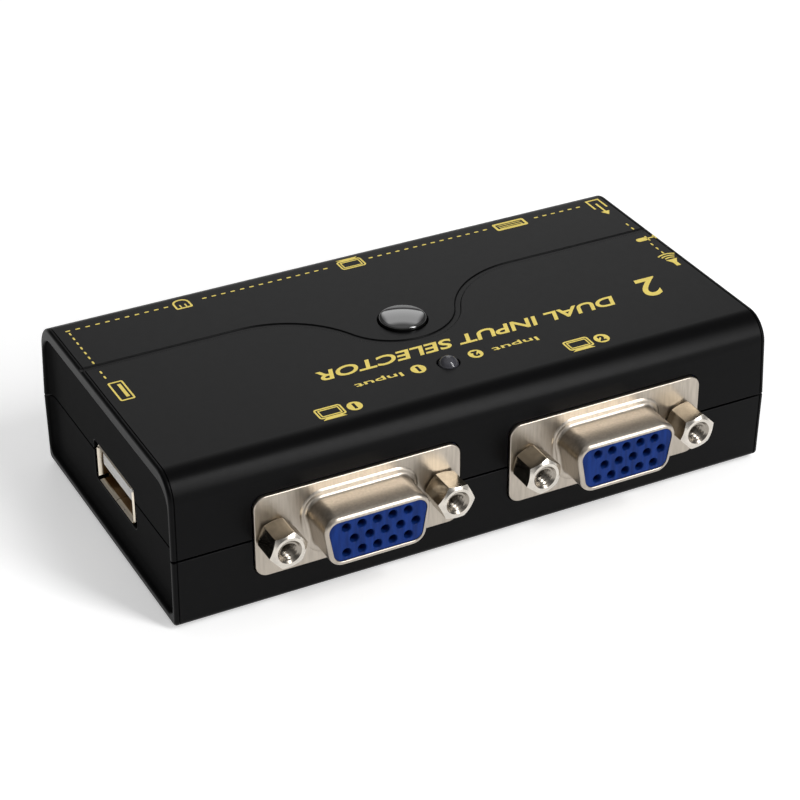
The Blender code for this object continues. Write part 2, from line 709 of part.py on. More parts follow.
def d_outline(inset, steps):
    """The connector's D, wide side up, drawn in by an inset all round."""
    height = D_HEIGHT - 2 * inset
    top = D_WIDTH / 2 - inset
    bottom = top - height * math.tan(D_SLANT)
    corners = [
        (-bottom, -height / 2),
        (bottom, -height / 2),
        (top, height / 2),
        (-top, height / 2),
    ]
    return rounded_outline(corners, D_RADIUS - inset, steps)


def pin_places():
    """(x, z) of the fifteen contacts: the middle row sits half a pitch to one side."""
    for row, shift in zip((1, 0, -1), PIN_ROW_SHIFTS):
        for column in range(PINS_IN_A_ROW):
            yield (column - PINS_IN_A_ROW // 2) * PIN_PITCH + shift, row * PIN_ROW_PITCH


def build_video_socket(name, x, y, turn_degrees):
    frame = socket_frame(name + "_frame", x, y, VIDEO_CENTRE_Z, turn_degrees)
    screw_xs = (-JACKSCREW_SPACING / 2, JACKSCREW_SPACING / 2)

    flange = rounded_outline(rectangle(FLANGE_WIDTH, FLANGE_HEIGHT), FLANGE_RADIUS, 3)
    shell = plate(
        name + "_shell", flange, FLANGE_THICKNESS, (0, FLANGE_THICKNESS / 2, 0), "Y", frame
    )
    reach = D_REACH + FLANGE_THICKNESS / 2
    collar = plate("collar", d_outline(0, 4), reach, (0, reach / 2 - D_REACH, 0), "Y", frame)
    mouth = plate("mouth", d_outline(D_WALL, 4), THROUGH, (0, 0, 0), "Y", frame)
    cut(join(shell, collar), mouth)
    hole_radius = JACKSCREW_SHANK_RADIUS + GAP
    for screw_x in screw_xs:
        cut(shell, drum("screw_hole", hole_radius, THROUGH, (screw_x, 0, 0), "Y", 12, frame))
    finish(shell, "nickel")

    face = -(D_REACH - GAP)
    insulator = plate(
        name + "_insulator",
        d_outline(D_WALL + GAP, 3),
        FLANGE_THICKNESS - face,
        (0, (FLANGE_THICKNESS + face) / 2, 0),
        "Y",
        frame,
    )
    for pin_x, pin_z in pin_places():
        pin_hole = (pin_x, face, pin_z)
        cut(insulator, drum("pin_hole", PIN_HOLE_RADIUS, 2 * PIN_HOLE_DEPTH, pin_hole, "Y", 6, frame))
    finish(insulator, "blue_insulator")

    housing_front = FLANGE_THICKNESS + GAP
    housing_bottom = ON_BOARD - VIDEO_CENTRE_Z
    housing = box(
        name + "_housing",
        (HOUSING_WIDTH, HOUSING_DEPTH, HOUSING_TOP - housing_bottom),
        (0, housing_front + HOUSING_DEPTH / 2, (HOUSING_TOP + housing_bottom) / 2),
        frame,
    )
    step = box(
        "step",
        (HOUSING_WIDTH + OVERLAP, 2 * HOUSING_STEP_DEPTH, 2 * HOUSING_STEP_HEIGHT),
        (0, housing_front + HOUSING_DEPTH, HOUSING_TOP),
        frame,
    )
    cut(housing, step)
    hole_depth = 2 * (JACKSCREW_SHANK_END + GAP)
    for screw_x in screw_xs:
        cut(housing, drum("shank_hole", hole_radius, hole_depth, (screw_x, 0, 0), "Y", 12, frame))
    finish(housing, "blue_insulator")

    for side, screw_x in zip(("left", "right"), screw_xs):
        screw_name = f"{name}_jackscrew_{side}"
        build_jackscrew(screw_name, screw_x, JACKSCREW_TURNS.get(screw_name, 0.0), frame)


def build_jackscrew(name, x, turn, frame):
    """A hexagonal standoff with a threaded end, turned about its axis as it was left when tightened."""
    corner_radius = JACKSCREW_FLATS / 2 / math.cos(math.pi / 6)
    length = JACKSCREW_REACH - GAP
    middle = (x, -GAP - length / 2, 0)
    screw = drum(name, corner_radius, length, middle, "Y", 6, frame, turn)
    shank_length = JACKSCREW_SHANK_END + OVERLAP
    shank_middle = (x, JACKSCREW_SHANK_END - shank_length / 2, 0)
    shank = drum("shank", JACKSCREW_SHANK_RADIUS, shank_length, shank_middle, "Y", 12, frame)
    face = (x, -JACKSCREW_REACH, 0)
    bore = drum(
        "jack_bore", JACKSCREW_BORE_RADIUS, 2 * JACKSCREW_BORE_DEPTH, face, "Y", 12, frame
    )
    finish(cut(join(screw, shank), bore), "nickel")


# USB sockets and audio jacks.


def build_usb_socket(name, x, y, turn_degrees):
    frame = socket_frame(name + "_frame", x, y, USB_CENTRE_Z, turn_degrees)
    shell = box(
        name + "_shell", (USB_WIDTH, USB_DEPTH, USB_HEIGHT), (0, USB_DEPTH / 2, 0), frame
    )
    inner_width, inner_height = USB_WIDTH - 2 * USB_WALL, USB_HEIGHT - 2 * USB_WALL
    cut(shell, box("usb_mouth", (inner_width, 3 * USB_DEPTH, inner_height), (0, 0, 0), frame))
    finish(shell, "nickel")
    block_back = USB_DEPTH - USB_BLOCK_INSET
    block_front = block_back - USB_BLOCK_DEPTH
    tongue = box(
        name + "_tongue",
        (inner_width - 2 * GAP, USB_BLOCK_DEPTH, inner_height - 2 * GAP),
        (0, (block_front + block_back) / 2, 0),
        frame,
    )
    blade_back = block_front + OVERLAP
    blade = box(
        "blade",
        (TONGUE_WIDTH, blade_back - TONGUE_SETBACK, TONGUE_THICKNESS),
        (0, (blade_back + TONGUE_SETBACK) / 2, TONGUE_BOTTOM + TONGUE_THICKNESS / 2),
        frame,
    )
    finish(join(tongue, blade), "pale_insulator")


def build_audio_jack(name, y):
    frame = socket_frame(name + "_frame", END_PANEL_X, y, JACK_CENTRE_Z, 90)
    height = 2 * (JACK_CENTRE_Z - ON_BOARD)
    housing = box(
        name + "_housing",
        (JACK_WIDTH, JACK_DEPTH, height),
        (0, JACK_NOSE_LENGTH + JACK_DEPTH / 2, 0),
        frame,
    )
    nose_length = JACK_NOSE_LENGTH + OVERLAP
    nose = drum("nose", JACK_NOSE_RADIUS, nose_length, (0, nose_length / 2, 0), "Y", 24, frame)
    bore_end = SLEEVE_LENGTH + JACK_FLOOR
    bore = drum("jack_bore", SLEEVE_RADIUS + GAP, 2 * bore_end, (0, 0, 0), "Y", 20, frame)
    finish(cut(join(housing, nose), bore), "black_nylon")
    sleeve = drum(
        name + "_sleeve", SLEEVE_RADIUS, SLEEVE_LENGTH, (0, SLEEVE_LENGTH / 2, 0), "Y", 20, frame
    )
    sleeve_bore = drum(
        "sleeve_bore", SLEEVE_BORE_RADIUS, 3 * SLEEVE_LENGTH, (0, 0, 0), "Y", 20, frame
    )
    cut(sleeve, sleeve_bore)
    finish(sleeve, "tin")


# Circuit board and what else stands on it.


def build_board():
    board = box(
        "circuit_board",
        (BOARD_LENGTH, BOARD_DEPTH, BOARD_TOP - BOARD_BOTTOM),
        (0, 0, (BOARD_TOP + BOARD_BOTTOM) / 2),
    )
    for x, y in screw_places():
        cut(board, drum("board_hole", SCREW_RADIUS + GAP, THROUGH, (x, y, BOARD_TOP), sides=12))
    finish(board, "board_green")


def build_chips():
    for name, (x, y, length, depth, height, material) in CHIPS.items():
        chip = box(name, (length, depth, height), (x, y, ON_BOARD + height / 2))
        bevel = chip.modifiers.new("edges", "BEVEL")
        bevel.width = CHIP_EDGE
        bevel.segments = 1
        finish(chip, material)


def build_capacitors():
    profile = [
        (0, CAPACITOR_HEIGHT),
        (CAPACITOR_RADIUS - CAPACITOR_EDGE, CAPACITOR_HEIGHT),
        (CAPACITOR_RADIUS, CAPACITOR_HEIGHT - CAPACITOR_EDGE),
        (CAPACITOR_RADIUS, CAPACITOR_NECK_HEIGHT + CAPACITOR_NECK_WIDTH / 2),
        (CAPACITOR_RADIUS - CAPACITOR_NECK_DEPTH, CAPACITOR_NECK_HEIGHT),
        (CAPACITOR_RADIUS, CAPACITOR_NECK_HEIGHT - CAPACITOR_NECK_WIDTH / 2),
        (CAPACITOR_RADIUS, 0),
        (0, 0),
    ]
    for number, (x, y) in enumerate(CAPACITORS, 1):
        finish(turned(f"capacitor_{number}", profile, (x, y, ON_BOARD), 20), "chip_epoxy", 35)


PANELS = panel_cutters()
WINDOWS = window_cutters()
build_top_cover()
build_bottom_cover()
build_case_screws()
build_feet()
build_button()
build_switch()
build_status_led()
build_video_socket("video_in_1", -VIDEO_IN_X, -FLANGE_FACE_Y, 0)
build_video_socket("video_in_2", VIDEO_IN_X, -FLANGE_FACE_Y, 0)
build_video_socket("video_out", VIDEO_OUT_X, FLANGE_FACE_Y, 180)
build_usb_socket("usb_mouse", MOUSE_X, USB_MOUTH_Y, 180)
build_usb_socket("usb_keyboard", KEYBOARD_X, USB_MOUTH_Y, 180)
build_usb_socket("usb_hub", -END_PANEL_X, HUB_Y, -90)
build_audio_jack("mic_jack", MIC_Y)
build_audio_jack("speaker_jack", SPEAKER_Y)
build_board()
build_chips()
build_capacitors()
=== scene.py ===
"""How the KVM switch looks: its detailed pieces and finishes over the CAD frame, its camera and lights.

Pieces are modelled in millimetres in the row frame and turned into metres as they are placed.
"""

import math

import bmesh
import bpy
from mathutils import Matrix, Vector


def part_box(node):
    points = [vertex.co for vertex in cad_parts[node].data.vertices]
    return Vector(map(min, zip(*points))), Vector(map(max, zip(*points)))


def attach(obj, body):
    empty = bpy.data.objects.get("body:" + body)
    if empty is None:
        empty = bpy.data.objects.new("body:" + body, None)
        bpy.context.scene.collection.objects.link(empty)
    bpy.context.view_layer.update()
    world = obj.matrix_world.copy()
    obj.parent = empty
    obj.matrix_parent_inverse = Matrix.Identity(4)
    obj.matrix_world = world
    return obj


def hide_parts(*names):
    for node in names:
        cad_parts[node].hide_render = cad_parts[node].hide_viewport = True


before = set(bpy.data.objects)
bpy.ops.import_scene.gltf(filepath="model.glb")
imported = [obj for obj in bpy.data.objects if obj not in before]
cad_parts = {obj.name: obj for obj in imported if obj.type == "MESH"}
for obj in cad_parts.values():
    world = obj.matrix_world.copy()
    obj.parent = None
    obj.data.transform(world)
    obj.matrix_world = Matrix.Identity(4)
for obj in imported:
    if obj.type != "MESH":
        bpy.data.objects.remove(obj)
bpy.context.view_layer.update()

MM = 0.001
SCENE = bpy.context.scene

# Covers. The sides draw in from the parting line both ways, and the ends only above it.
LENGTH, DEPTH = 92.7, 48.7
BELOW = 0.4  # how much lower the case's underside is here than in the CAD
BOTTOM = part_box("bottom_cover")[0].z / MM - BELOW
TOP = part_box("top_cover")[1].z / MM
PARTING = BOTTOM + BELOW + 10.3
SEAM = 0.3  # between the covers, at the parting line
END_SLOPE, SIDE_SLOPE = math.tan(math.radians(1.3)), math.tan(math.radians(2.0))
TOP_EDGE, BOTTOM_EDGE, NEAR_EDGE = 4.0, 0.9, 0.12
SIDE_WALL, END_WALL, INNER_EDGE = 1.8, 2.3, 1.2
LIP_HEIGHT, LIP_THICKNESS, LIP_ROOT = 1.0, 0.6, 6.0
PANEL_X, PANEL_FINISH_DEPTH = 45.25, 0.25  # floor of an end's recess, and where its finish starts
RIM_SIDE, RIM_TOP, RIM_BOTTOM = 0.9, 1.9, 1.3
RIM_TOP_CORNER, RIM_BOTTOM_CORNER = 3.2, 1.6
GAP = 0.3
WINDOW_GAP = 0.12  # round a video socket's flange
USB_WINDOW_WIDTH, USB_WINDOW_HEIGHT, USB_WINDOW_RADIUS = 15.4, 6.4, 0.8
WALL_HOLE_EDGE, PANEL_HOLE_EDGE, TOP_HOLE_EDGE = 0.12, 0.15, 0.15  # rounding of the holes' mouths

# Groove across the top.
STRAIGHT_Y, OUTER_BEND, INNER_BEND, BEND_TURN = 7.9, 14.5, 9.6, 65
GROOVE_HALF, GROOVE_DEPTH, GROOVE_SHOULDER, GROOVE_FILLET = 0.42, 0.15, 0.14, 0.1

# Button, status light, screws and feet, with their holes, posts and seats.
BUTTON_RADIUS, BUTTON_HOLE, GUIDE_RADIUS, GUIDE_BOTTOM = 3.45, 3.62, 5.1, 19.0
LED_Y, LED_RADIUS, LED_HOLE, LED_HOLE_BOTTOM = -13.8, 1.5, 1.62, 20.0
SCREW_X, SCREW_Y, SCREW_HOLE, HEAD_HOLE, HEAD_CHAMFER = 39.4, 17.6, 1.4, 2.7, 0.25
POST_RADIUS, POST_TOP, BOSS_RADIUS, BOSS_BOTTOM, PILOT_TOP = 3.7, 4.6, 2.9, 6.8, 15.3
FOOT_X, FOOT_Y, FOOT_SEAT = 31.0, 15.0, 4.3

# Video socket.
FLANGE_WIDTH, FLANGE_HEIGHT, FLANGE_THICKNESS, FLANGE_RADIUS = 30.8, 12.5, 0.8, 1.8
D_WIDTH, D_HEIGHT, D_SLANT, D_RADIUS, D_REACH = 16.6, 7.8, math.tan(math.radians(10)), 2.2, 5.83
PIN_PITCH, PIN_ROW_PITCH, PIN_ROW_SHIFTS = 2.29, 1.98, (-0.14, 1.01, -0.14)
JACKSCREW_X, JACKSCREW_FLATS, JACKSCREW_REACH, THREAD_PITCH = 12.495, 4.9, 4.72, 0.635
JACKSCREW_HOLE = 1.7
JACKSCREW_TURNS = {"video_in_1": (11, -5), "video_in_2": (21, 14), "video_out": (8, -17)}  # left and right

# USB socket and audio jack.
USB_WIDTH, USB_HEIGHT, USB_RADIUS, USB_WALL, USB_DEPTH = 13.1, 5.7, 0.75, 0.3, 13.8
TONGUE_WIDTH, TONGUE_LOW, TONGUE_HIGH, TONGUE_SETBACK = 11.1, -0.1, 2.2, 0.35
JACK_NOSE, JACK_BORE, SLEEVE_OUTER, SLEEVE_BORE = 3.0, 2.5, 2.2, 1.8


# Shapes.


def added(name, data):
    """A new object in the scene."""
    obj = bpy.data.objects.new(name, data)
    SCENE.collection.objects.link(obj)
    return obj


def arc(centre, radius, start, end, steps):
    """Points along an arc, its angles in degrees."""
    angles = [math.radians(start + (end - start) * step / steps) for step in range(steps + 1)]
    return [
        (centre[0] + radius * math.cos(angle), centre[1] + radius * math.sin(angle))
        for angle in angles
    ]


def circle(centre, radius, sides=40):
    return arc(centre, radius, 0, 360 - 360 / sides, sides - 1)


def quarter(steps):
    """The angles of a quarter turn in equal steps."""
    return [math.pi / 2 * step / steps for step in range(steps + 1)]


def rectangle(width, height):
    x, y = width / 2, height / 2
    return [(-x, -y), (x, -y), (x, y), (-x, y)]


def rounded(corners, radii, steps=8):
    """An outline with each corner made an arc. A radius of 0 keeps the corner."""
    corners = [Vector(corner) for corner in corners]
    if isinstance(radii, (int, float)):
        radii = [radii] * len(corners)
    points = []
    for i, (corner, radius) in enumerate(zip(corners, radii)):
        if radius <= 0:
            points.append(tuple(corner))
            continue
        into = (corner - corners[i - 1]).normalized()
        out = (corners[(i + 1) % len(corners)] - corner).normalized()
        turn = math.atan2(into.x * out.y - into.y * out.x, into.dot(out))
        start = corner - into * radius * math.tan(abs(turn) / 2)
        centre = start + Vector((-into.y, into.x)) * math.copysign(radius, turn)
        arm = start - centre
        for step in range(steps + 1):
            point = centre + Matrix.Rotation(turn * step / steps, 2) @ arm
            points.append(tuple(point))
    return points


def mesh_of(shape):
    mesh = bpy.data.meshes.new("shape")
    shape.to_mesh(mesh)
    shape.free()
    return mesh


def lofted(rings, closed=False):
    """A skin over rings of points, capped at its ends or, when closed, joined back to its start."""
    shape = bmesh.new()
    rows = [[shape.verts.new(point) for point in ring] for ring in rings]
    following = rows[1:] + rows[:1] if closed else rows[1:]
    for row, after in zip(rows, following):
        for i in range(len(row)):
            j = (i + 1) % len(row)
            shape.faces.new((row[i], row[j], after[j], after[i]))
    if not closed:
        shape.faces.new(rows[0])
        shape.faces.new(rows[-1])
    bmesh.ops.recalc_face_normals(shape, faces=shape.faces)
    return mesh_of(shape)


def turned(profile, sides=48, closed=False, axis="Z", centre=(0, 0, 0)):
    """A shape turned about an axis from (radius, height) points, with a very small face on the axis."""
    smallest = 0.004
    rings = []
    for radius, height in profile:
        radius = max(radius, smallest)
        ring = []
        for step in range(sides):
            angle = 2 * math.pi * step / sides
            across, up = radius * math.cos(angle), radius * math.sin(angle)
            place = {"X": (height, across, up), "Y": (across, height, up), "Z": (across, up, height)}
            ring.append(Vector(place[axis]) + Vector(centre))
        rings.append(ring)
    return lofted(rings, closed)


def slab(low, high):
    """A block with sharp edges."""
    (x0, y0, z0), (x1, y1, z1) = low, high
    return lofted([[(x0, y0, z), (x1, y0, z), (x1, y1, z), (x0, y1, z)] for z in (z0, z1)])


def soft_slab(low, high, edge, steps=3):
    """A block with its edges rounded."""
    shape = bmesh.new()
    bmesh.ops.create_cube(shape, size=1)
    for vertex in shape.verts:
        vertex.co = [b if c > 0 else a for a, b, c in zip(low, high, vertex.co)]
    bmesh.ops.bevel(
        shape, geom=list(shape.edges), offset=edge, segments=steps, profile=0.5, affect="EDGES"
    )
    return mesh_of(shape)


def joined(meshes):
    """Several meshes as one, without changing their faces."""
    shape = bmesh.new()
    for mesh in meshes:
        shape.from_mesh(mesh)
    result = mesh_of(shape)
    for mesh in meshes:
        bpy.data.meshes.remove(mesh)
    return result


def combined(base, others, operation="DIFFERENCE"):
    """The base after a boolean with each of the other meshes, which are used up."""
    target = added("target", base)
    helpers = [added("helper", other) for other in others]
    for helper in helpers:
        boolean = target.modifiers.new("boolean", "BOOLEAN")
        boolean.operation = operation
        boolean.solver = "EXACT"
        boolean.object = helper
    bpy.context.view_layer.update()
    graph = bpy.context.evaluated_depsgraph_get()
    result = bpy.data.meshes.new_from_object(target.evaluated_get(graph))
    for used in [target, *helpers]:
        mesh = used.data
        bpy.data.objects.remove(used, do_unlink=True)
        bpy.data.meshes.remove(mesh)
    return result


def drawn(outlines, height):
    """Flat outlines, those inside others being holes, raised to a height."""
    curve = bpy.data.curves.new("drawn", "CURVE")
    curve.dimensions = "2D"
    curve.fill_mode = "BOTH"
    curve.extrude = height / 2
    for outline in outlines:
        line = curve.splines.new("POLY")
        line.points.add(len(outline) - 1)
        for point, (x, y) in zip(line.points, outline):
            point.co = (x, y, 0, 1)
        line.use_cyclic_u = True
    return flat_mesh(curve)


def flat_mesh(curve):
    """The closed mesh of a curve that has been given a height."""
    obj = added("drawn", curve)
    bpy.context.view_layer.update()
    graph = bpy.context.evaluated_depsgraph_get()
    mesh = bpy.data.meshes.new_from_object(obj.evaluated_get(graph))
    bpy.data.objects.remove(obj, do_unlink=True)
    shape = bmesh.new()
    shape.from_mesh(mesh)
    bmesh.ops.remove_doubles(shape, verts=shape.verts, dist=1e-5)
    bmesh.ops.recalc_face_normals(shape, faces=shape.faces)
    bpy.data.meshes.remove(mesh)
    return mesh_of(shape)


def lettering(words, cap_height, height, width=None, slant=0.0, bold=0.0):
    """Raised letters, their lower left corner at the origin, or centred when no width is given."""
    cap_share = 0.73  # a capital's height in the font, as a share of the size
    curve = bpy.data.curves.new("words", "FONT")
    curve.body = words
    curve.size = cap_height / cap_share
    curve.shear = slant
    curve.offset = bold
    curve.extrude = height / 2
    curve.resolution_u = 5
    mesh = flat_mesh(curve)
    xs = [vertex.co.x for vertex in mesh.vertices]
    ys = [vertex.co.y for vertex in mesh.vertices]
    left, wide, low, tall = min(xs), max(xs) - min(xs), min(ys), max(ys) - min(ys)
    stretch = width / wide if width else cap_height / tall
    for vertex in mesh.vertices:
        vertex.co.x = (vertex.co.x - left - (0 if width else wide / 2)) * stretch
        vertex.co.y = (vertex.co.y - low - (0 if width else tall / 2)) * cap_height / tall
    return mesh


# Finishes.


def finish(
    name, colour, roughness, metallic=0.0, specular=0.5, spread=0.12, grain=900.0, stretch=(1, 1, 1),
    bump=0.0, bump_grain=9000.0, coat=0.0, transmission=0.0, wear=0.06,
):
    """A material whose colour and gloss vary a little, with a grain that can be stretched along an axis."""
    material = bpy.data.materials.new(name)
    material.use_nodes = True
    nodes, links = material.node_tree.nodes, material.node_tree.links
    shader = nodes["Principled BSDF"]
    coordinates = nodes.new("ShaderNodeTexCoord")
    mapping = nodes.new("ShaderNodeMapping")
    mapping.inputs["Scale"].default_value = stretch
    links.new(coordinates.outputs["Object"], mapping.inputs["Vector"])
    noise = nodes.new("ShaderNodeTexNoise")
    noise.inputs["Scale"].default_value = grain
    noise.inputs["Detail"].default_value = 4
    links.new(mapping.outputs["Vector"], noise.inputs["Vector"])
    ramp = nodes.new("ShaderNodeValToRGB")
    for stop, position, factor in zip(ramp.color_ramp.elements, (0.3, 0.7), (1 - spread, 1 + spread)):
        stop.position = position
        stop.color = (*[min(1.0, c * factor) for c in colour], 1)
    links.new(noise.outputs["Fac"], ramp.inputs["Fac"])
    links.new(ramp.outputs["Color"], shader.inputs["Base Color"])
    gloss = nodes.new("ShaderNodeMapRange")
    gloss.inputs["To Min"].default_value = max(0.0, roughness - wear)
    gloss.inputs["To Max"].default_value = roughness + wear
    links.new(noise.outputs["Fac"], gloss.inputs["Value"])
    links.new(gloss.outputs["Result"], shader.inputs["Roughness"])
    for setting, value in (
        ("Metallic", metallic),
        ("Specular IOR Level", specular),
        ("Coat Weight", coat),
        ("Coat Roughness", 0.04),
        ("Transmission Weight", transmission),
    ):
        shader.inputs[setting].default_value = value
    if bump:
        fine = nodes.new("ShaderNodeTexNoise")
        fine.inputs["Scale"].default_value = bump_grain
        fine.inputs["Detail"].default_value = 2
        links.new(mapping.outputs["Vector"], fine.inputs["Vector"])
        relief = nodes.new("ShaderNodeBump")
        relief.inputs["Strength"].default_value = bump
        relief.inputs["Distance"].default_value = 0.00002
        links.new(fine.outputs["Fac"], relief.inputs["Height"])
        links.new(relief.outputs["Normal"], shader.inputs["Normal"])
    return material


CASE = finish("case_plastic", (0.0010, 0.0010, 0.0012), 0.34, specular=0.08, bump=0.08, wear=0.03)
PANEL = finish("end_panel_plastic", (0.008, 0.008, 0.0082), 0.6, specular=0.015, bump=0.1)
GLOSS = finish("button_gloss", (0.004, 0.004, 0.004), 0.06, specular=1.0, coat=1.0, wear=0.02)
LENS = finish("smoky_lens", (0.075, 0.075, 0.088), 0.12, transmission=0.35, spread=0.1, wear=0.03)
NICKEL = finish(
    "nickel_shell", (0.43, 0.385, 0.33), 0.34, metallic=1.0, spread=0.12, grain=420,
    stretch=(6, 6, 0.6), bump=0.06, bump_grain=1500, wear=0.06,
)
# The jackscrews' one nickel in lit and shaded copies: a lighter one for the face is painted highlight, and
# darker ones for the sides and the thread are painted shade.
SCREW_FACE_PAINTED_LIGHT = finish("nickel_screw", (0.62, 0.58, 0.52), 0.24, metallic=1.0, spread=0.1, wear=0.08)
SCREW_SIDES_PAINTED_SHADE = finish("nickel_screw_sides_painted_shade", (0.34, 0.30, 0.24), 0.22, metallic=1.0, spread=0.15, wear=0.08)
THREAD_PAINTED_SHADE = finish("nickel_thread_painted_shade", (0.32, 0.29, 0.25), 0.26, metallic=1.0, spread=0.1, wear=0.08)
LIP = finish("usb_shell_bright", (0.80, 0.72, 0.60), 0.30, metallic=1.0, spread=0.05, wear=0.08)
# A darker copy of the USB shells' metal, which paints the shade inside the shells.
USB_INSIDE_PAINTED_SHADE = finish("usb_shell_inside_painted_shade", (0.30, 0.19, 0.09), 0.32, metallic=1.0, spread=0.1, wear=0.08)
BLUE = finish(
    "blue_insulator", (0.005, 0.023, 0.130), 0.40, spread=0.3, grain=500, stretch=(4, 4, 0.4),
    specular=0.08,
)
GOLD = finish("contact_gold", (0.60, 0.40, 0.14), 0.25, metallic=1.0, spread=0.08)
PALE = finish("pale_insulator", (0.62, 0.61, 0.59), 0.40, spread=0.05)
NYLON = finish("black_nylon", (0.010, 0.010, 0.010), 0.45, specular=0.3, bump=0.15)
GREEN = finish("board_green", (0.012, 0.085, 0.030), 0.35, grain=350, spread=0.3)
EPOXY = finish("chip_epoxy", (0.020, 0.020, 0.022), 0.55, bump=0.2)
STEEL = finish("steel", (0.50, 0.50, 0.51), 0.30, metallic=1.0, spread=0.06)
TIN = finish("tin", (0.66, 0.66, 0.64), 0.28, metallic=1.0, spread=0.05)
RUBBER = finish("foot_rubber", (0.016, 0.016, 0.017), 0.8, specular=0.2, bump=0.3, bump_grain=5000)
INK = finish("print_yellow", (0.95, 0.75, 0.17), 0.55, spread=0.06, specular=0.3)
FLOOR = finish("studio_floor", (0.93, 0.93, 0.93), 0.9, spread=0.01, grain=2.0, specular=0.1)
# The floor glows a little, so that it stays white round the object.
floor_shader = FLOOR.node_tree.nodes["Principled BSDF"]
floor_shader.inputs["Emission Color"].default_value = (1, 1, 1, 1)
floor_shader.inputs["Emission Strength"].default_value = 0.4


# Placing.


def with_materials(mesh, materials):
    for material in materials:
        mesh.materials.append(material)
    return mesh


def piece(name, mesh, materials, stands_for=(), body="case", place=None, sharp=32, even=False):
    """Adds a mesh in millimetres to the model as a finished piece that rides on a body."""
    indexes = [face.material_index for face in mesh.polygons]
    mesh.materials.clear()
    with_materials(mesh, materials)
    for face, index in zip(mesh.polygons, indexes):
        face.material_index = min(index, len(materials) - 1)
    mesh.transform(Matrix.Scale(MM, 4) @ (place or Matrix.Identity(4)))
    mesh.shade_smooth()
    mesh.set_sharp_from_angle(angle=math.radians(sharp))
    mesh.name = name
    obj = added(name, mesh)
    if even:
        weighted = obj.modifiers.new("even_shading", "WEIGHTED_NORMAL")
        weighted.keep_sharp = True
    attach(obj, body)
    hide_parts(*stands_for)


def facing(node, turn, reach):
    """The place of a socket modelled facing -Y, whose foremost point is that far in front of its origin."""
    low, high = (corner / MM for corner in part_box(node))
    rotation = Matrix.Rotation(math.radians(turn), 4, "Z")
    forward = (rotation @ Vector((0, -1, 0, 0))).to_3d()
    half = abs(forward.dot(high - low)) / 2
    return Matrix.Translation((low + high) / 2 + forward * (half - reach)) @ rotation


# The case.


def half_length(z):
    return LENGTH / 2 - max(z - PARTING, 0) * END_SLOPE


def half_depth(z):
    return DEPTH / 2 - abs(z - PARTING) * SIDE_SLOPE


def block(inset_x, inset_y, near, far, edge, near_edge=0.0, ends=((0.0, 0.0),), steps=12):
    """A block that draws in towards far, its long far edges rounded.

    ends lists (depth, inset) points of the profile of each end, from its face inwards.
    """
    side = 1 if far > near else -1

    def ring(end, depth, inset):
        y_near, y_far = (half_depth(z) - inset_y - inset for z in (near, far))
        z_far = far - side * inset
        outline = rounded(
            [(-y_near, near), (y_near, near), (y_far, z_far), (-y_far, z_far)],
            [near_edge, near_edge, edge - inset, edge - inset],
            steps,
        )
        return [(end * (half_length(z) - inset_x - depth), y, z) for y, z in outline]

    return lofted([ring(-1, *at) for at in ends] + [ring(1, *at) for at in reversed(ends)])


def end_profile():
    """The rounded edge of an end, and the fine line that runs round the case just inside it."""
    edge, line, half_line, line_depth = 0.45, 0.66, 0.09, 0.16
    around = [(edge * (1 - math.cos(a)), edge * (1 - math.sin(a))) for a in quarter(5)]
    crease = [
        (line + half_line * math.cos(a), line_depth * math.sin(a))
        for a in [math.pi - math.pi * step / 6 for step in range(7)]
    ]
    return around + crease


def panel_cutter(end):
    """The recess in an end: a softened rim, then a wide soft curve down to its flat floor."""
    low, high = BOTTOM + RIM_BOTTOM, TOP - RIM_TOP
    heights = (low, low, PARTING, high, high, PARTING)
    signs = (-1, 1, 1, 1, -1, -1)
    parting_corner = 3.0
    rim, soft, share = 0.3, 1.4, 0.4  # rounding of the rim, width of the curve, and where they meet

    def ring(inset, depth):
        corners = []
        for z, sign in zip(heights, signs):
            lift = inset * ((z == low) - (z == high))
            corners.append((sign * (half_depth(z) - RIM_SIDE - inset), z + lift))
        corner = {low: RIM_BOTTOM_CORNER - inset, high: RIM_TOP_CORNER - inset}
        corner[PARTING] = parting_corner
        radii = [corner[z] for z in heights]
        return [
            (end * (half_length(z) + (PANEL_X - half_length(z)) * depth), y, z)
            for y, z in rounded(corners, radii, 8)
        ]

    angles = quarter(6)
    rings = [ring(-rim, -1.0)]
    rings += [ring(-rim + rim * math.sin(a), share * (1 - math.cos(a))) for a in angles]
    rings += [
        ring(soft * (1 - math.cos(a)), share + (1 - share) * math.sin(a)) for a in angles[1:]
    ]
    mesh = with_materials(lofted(rings), [CASE, PANEL])
    for face in mesh.polygons:
        if end * face.center.x < half_length(face.center.z) - PANEL_FINISH_DEPTH:
            face.material_index = 1
    return mesh


def opening(outline, surface, rounding):
    """A cutter for a hole with a softened mouth.

    outline(inset) draws it, and surface(u, v, depth) lays it on the wall.
    """
    profile = [(-rounding, -1.0)]
    profile += [(-rounding * (1 - math.sin(a)), rounding * (1 - math.cos(a))) for a in quarter(4)]
    profile += [(0.0, 3.5)]
    return lofted([[surface(u, v, depth) for u, v in outline(inset)] for inset, depth in profile])


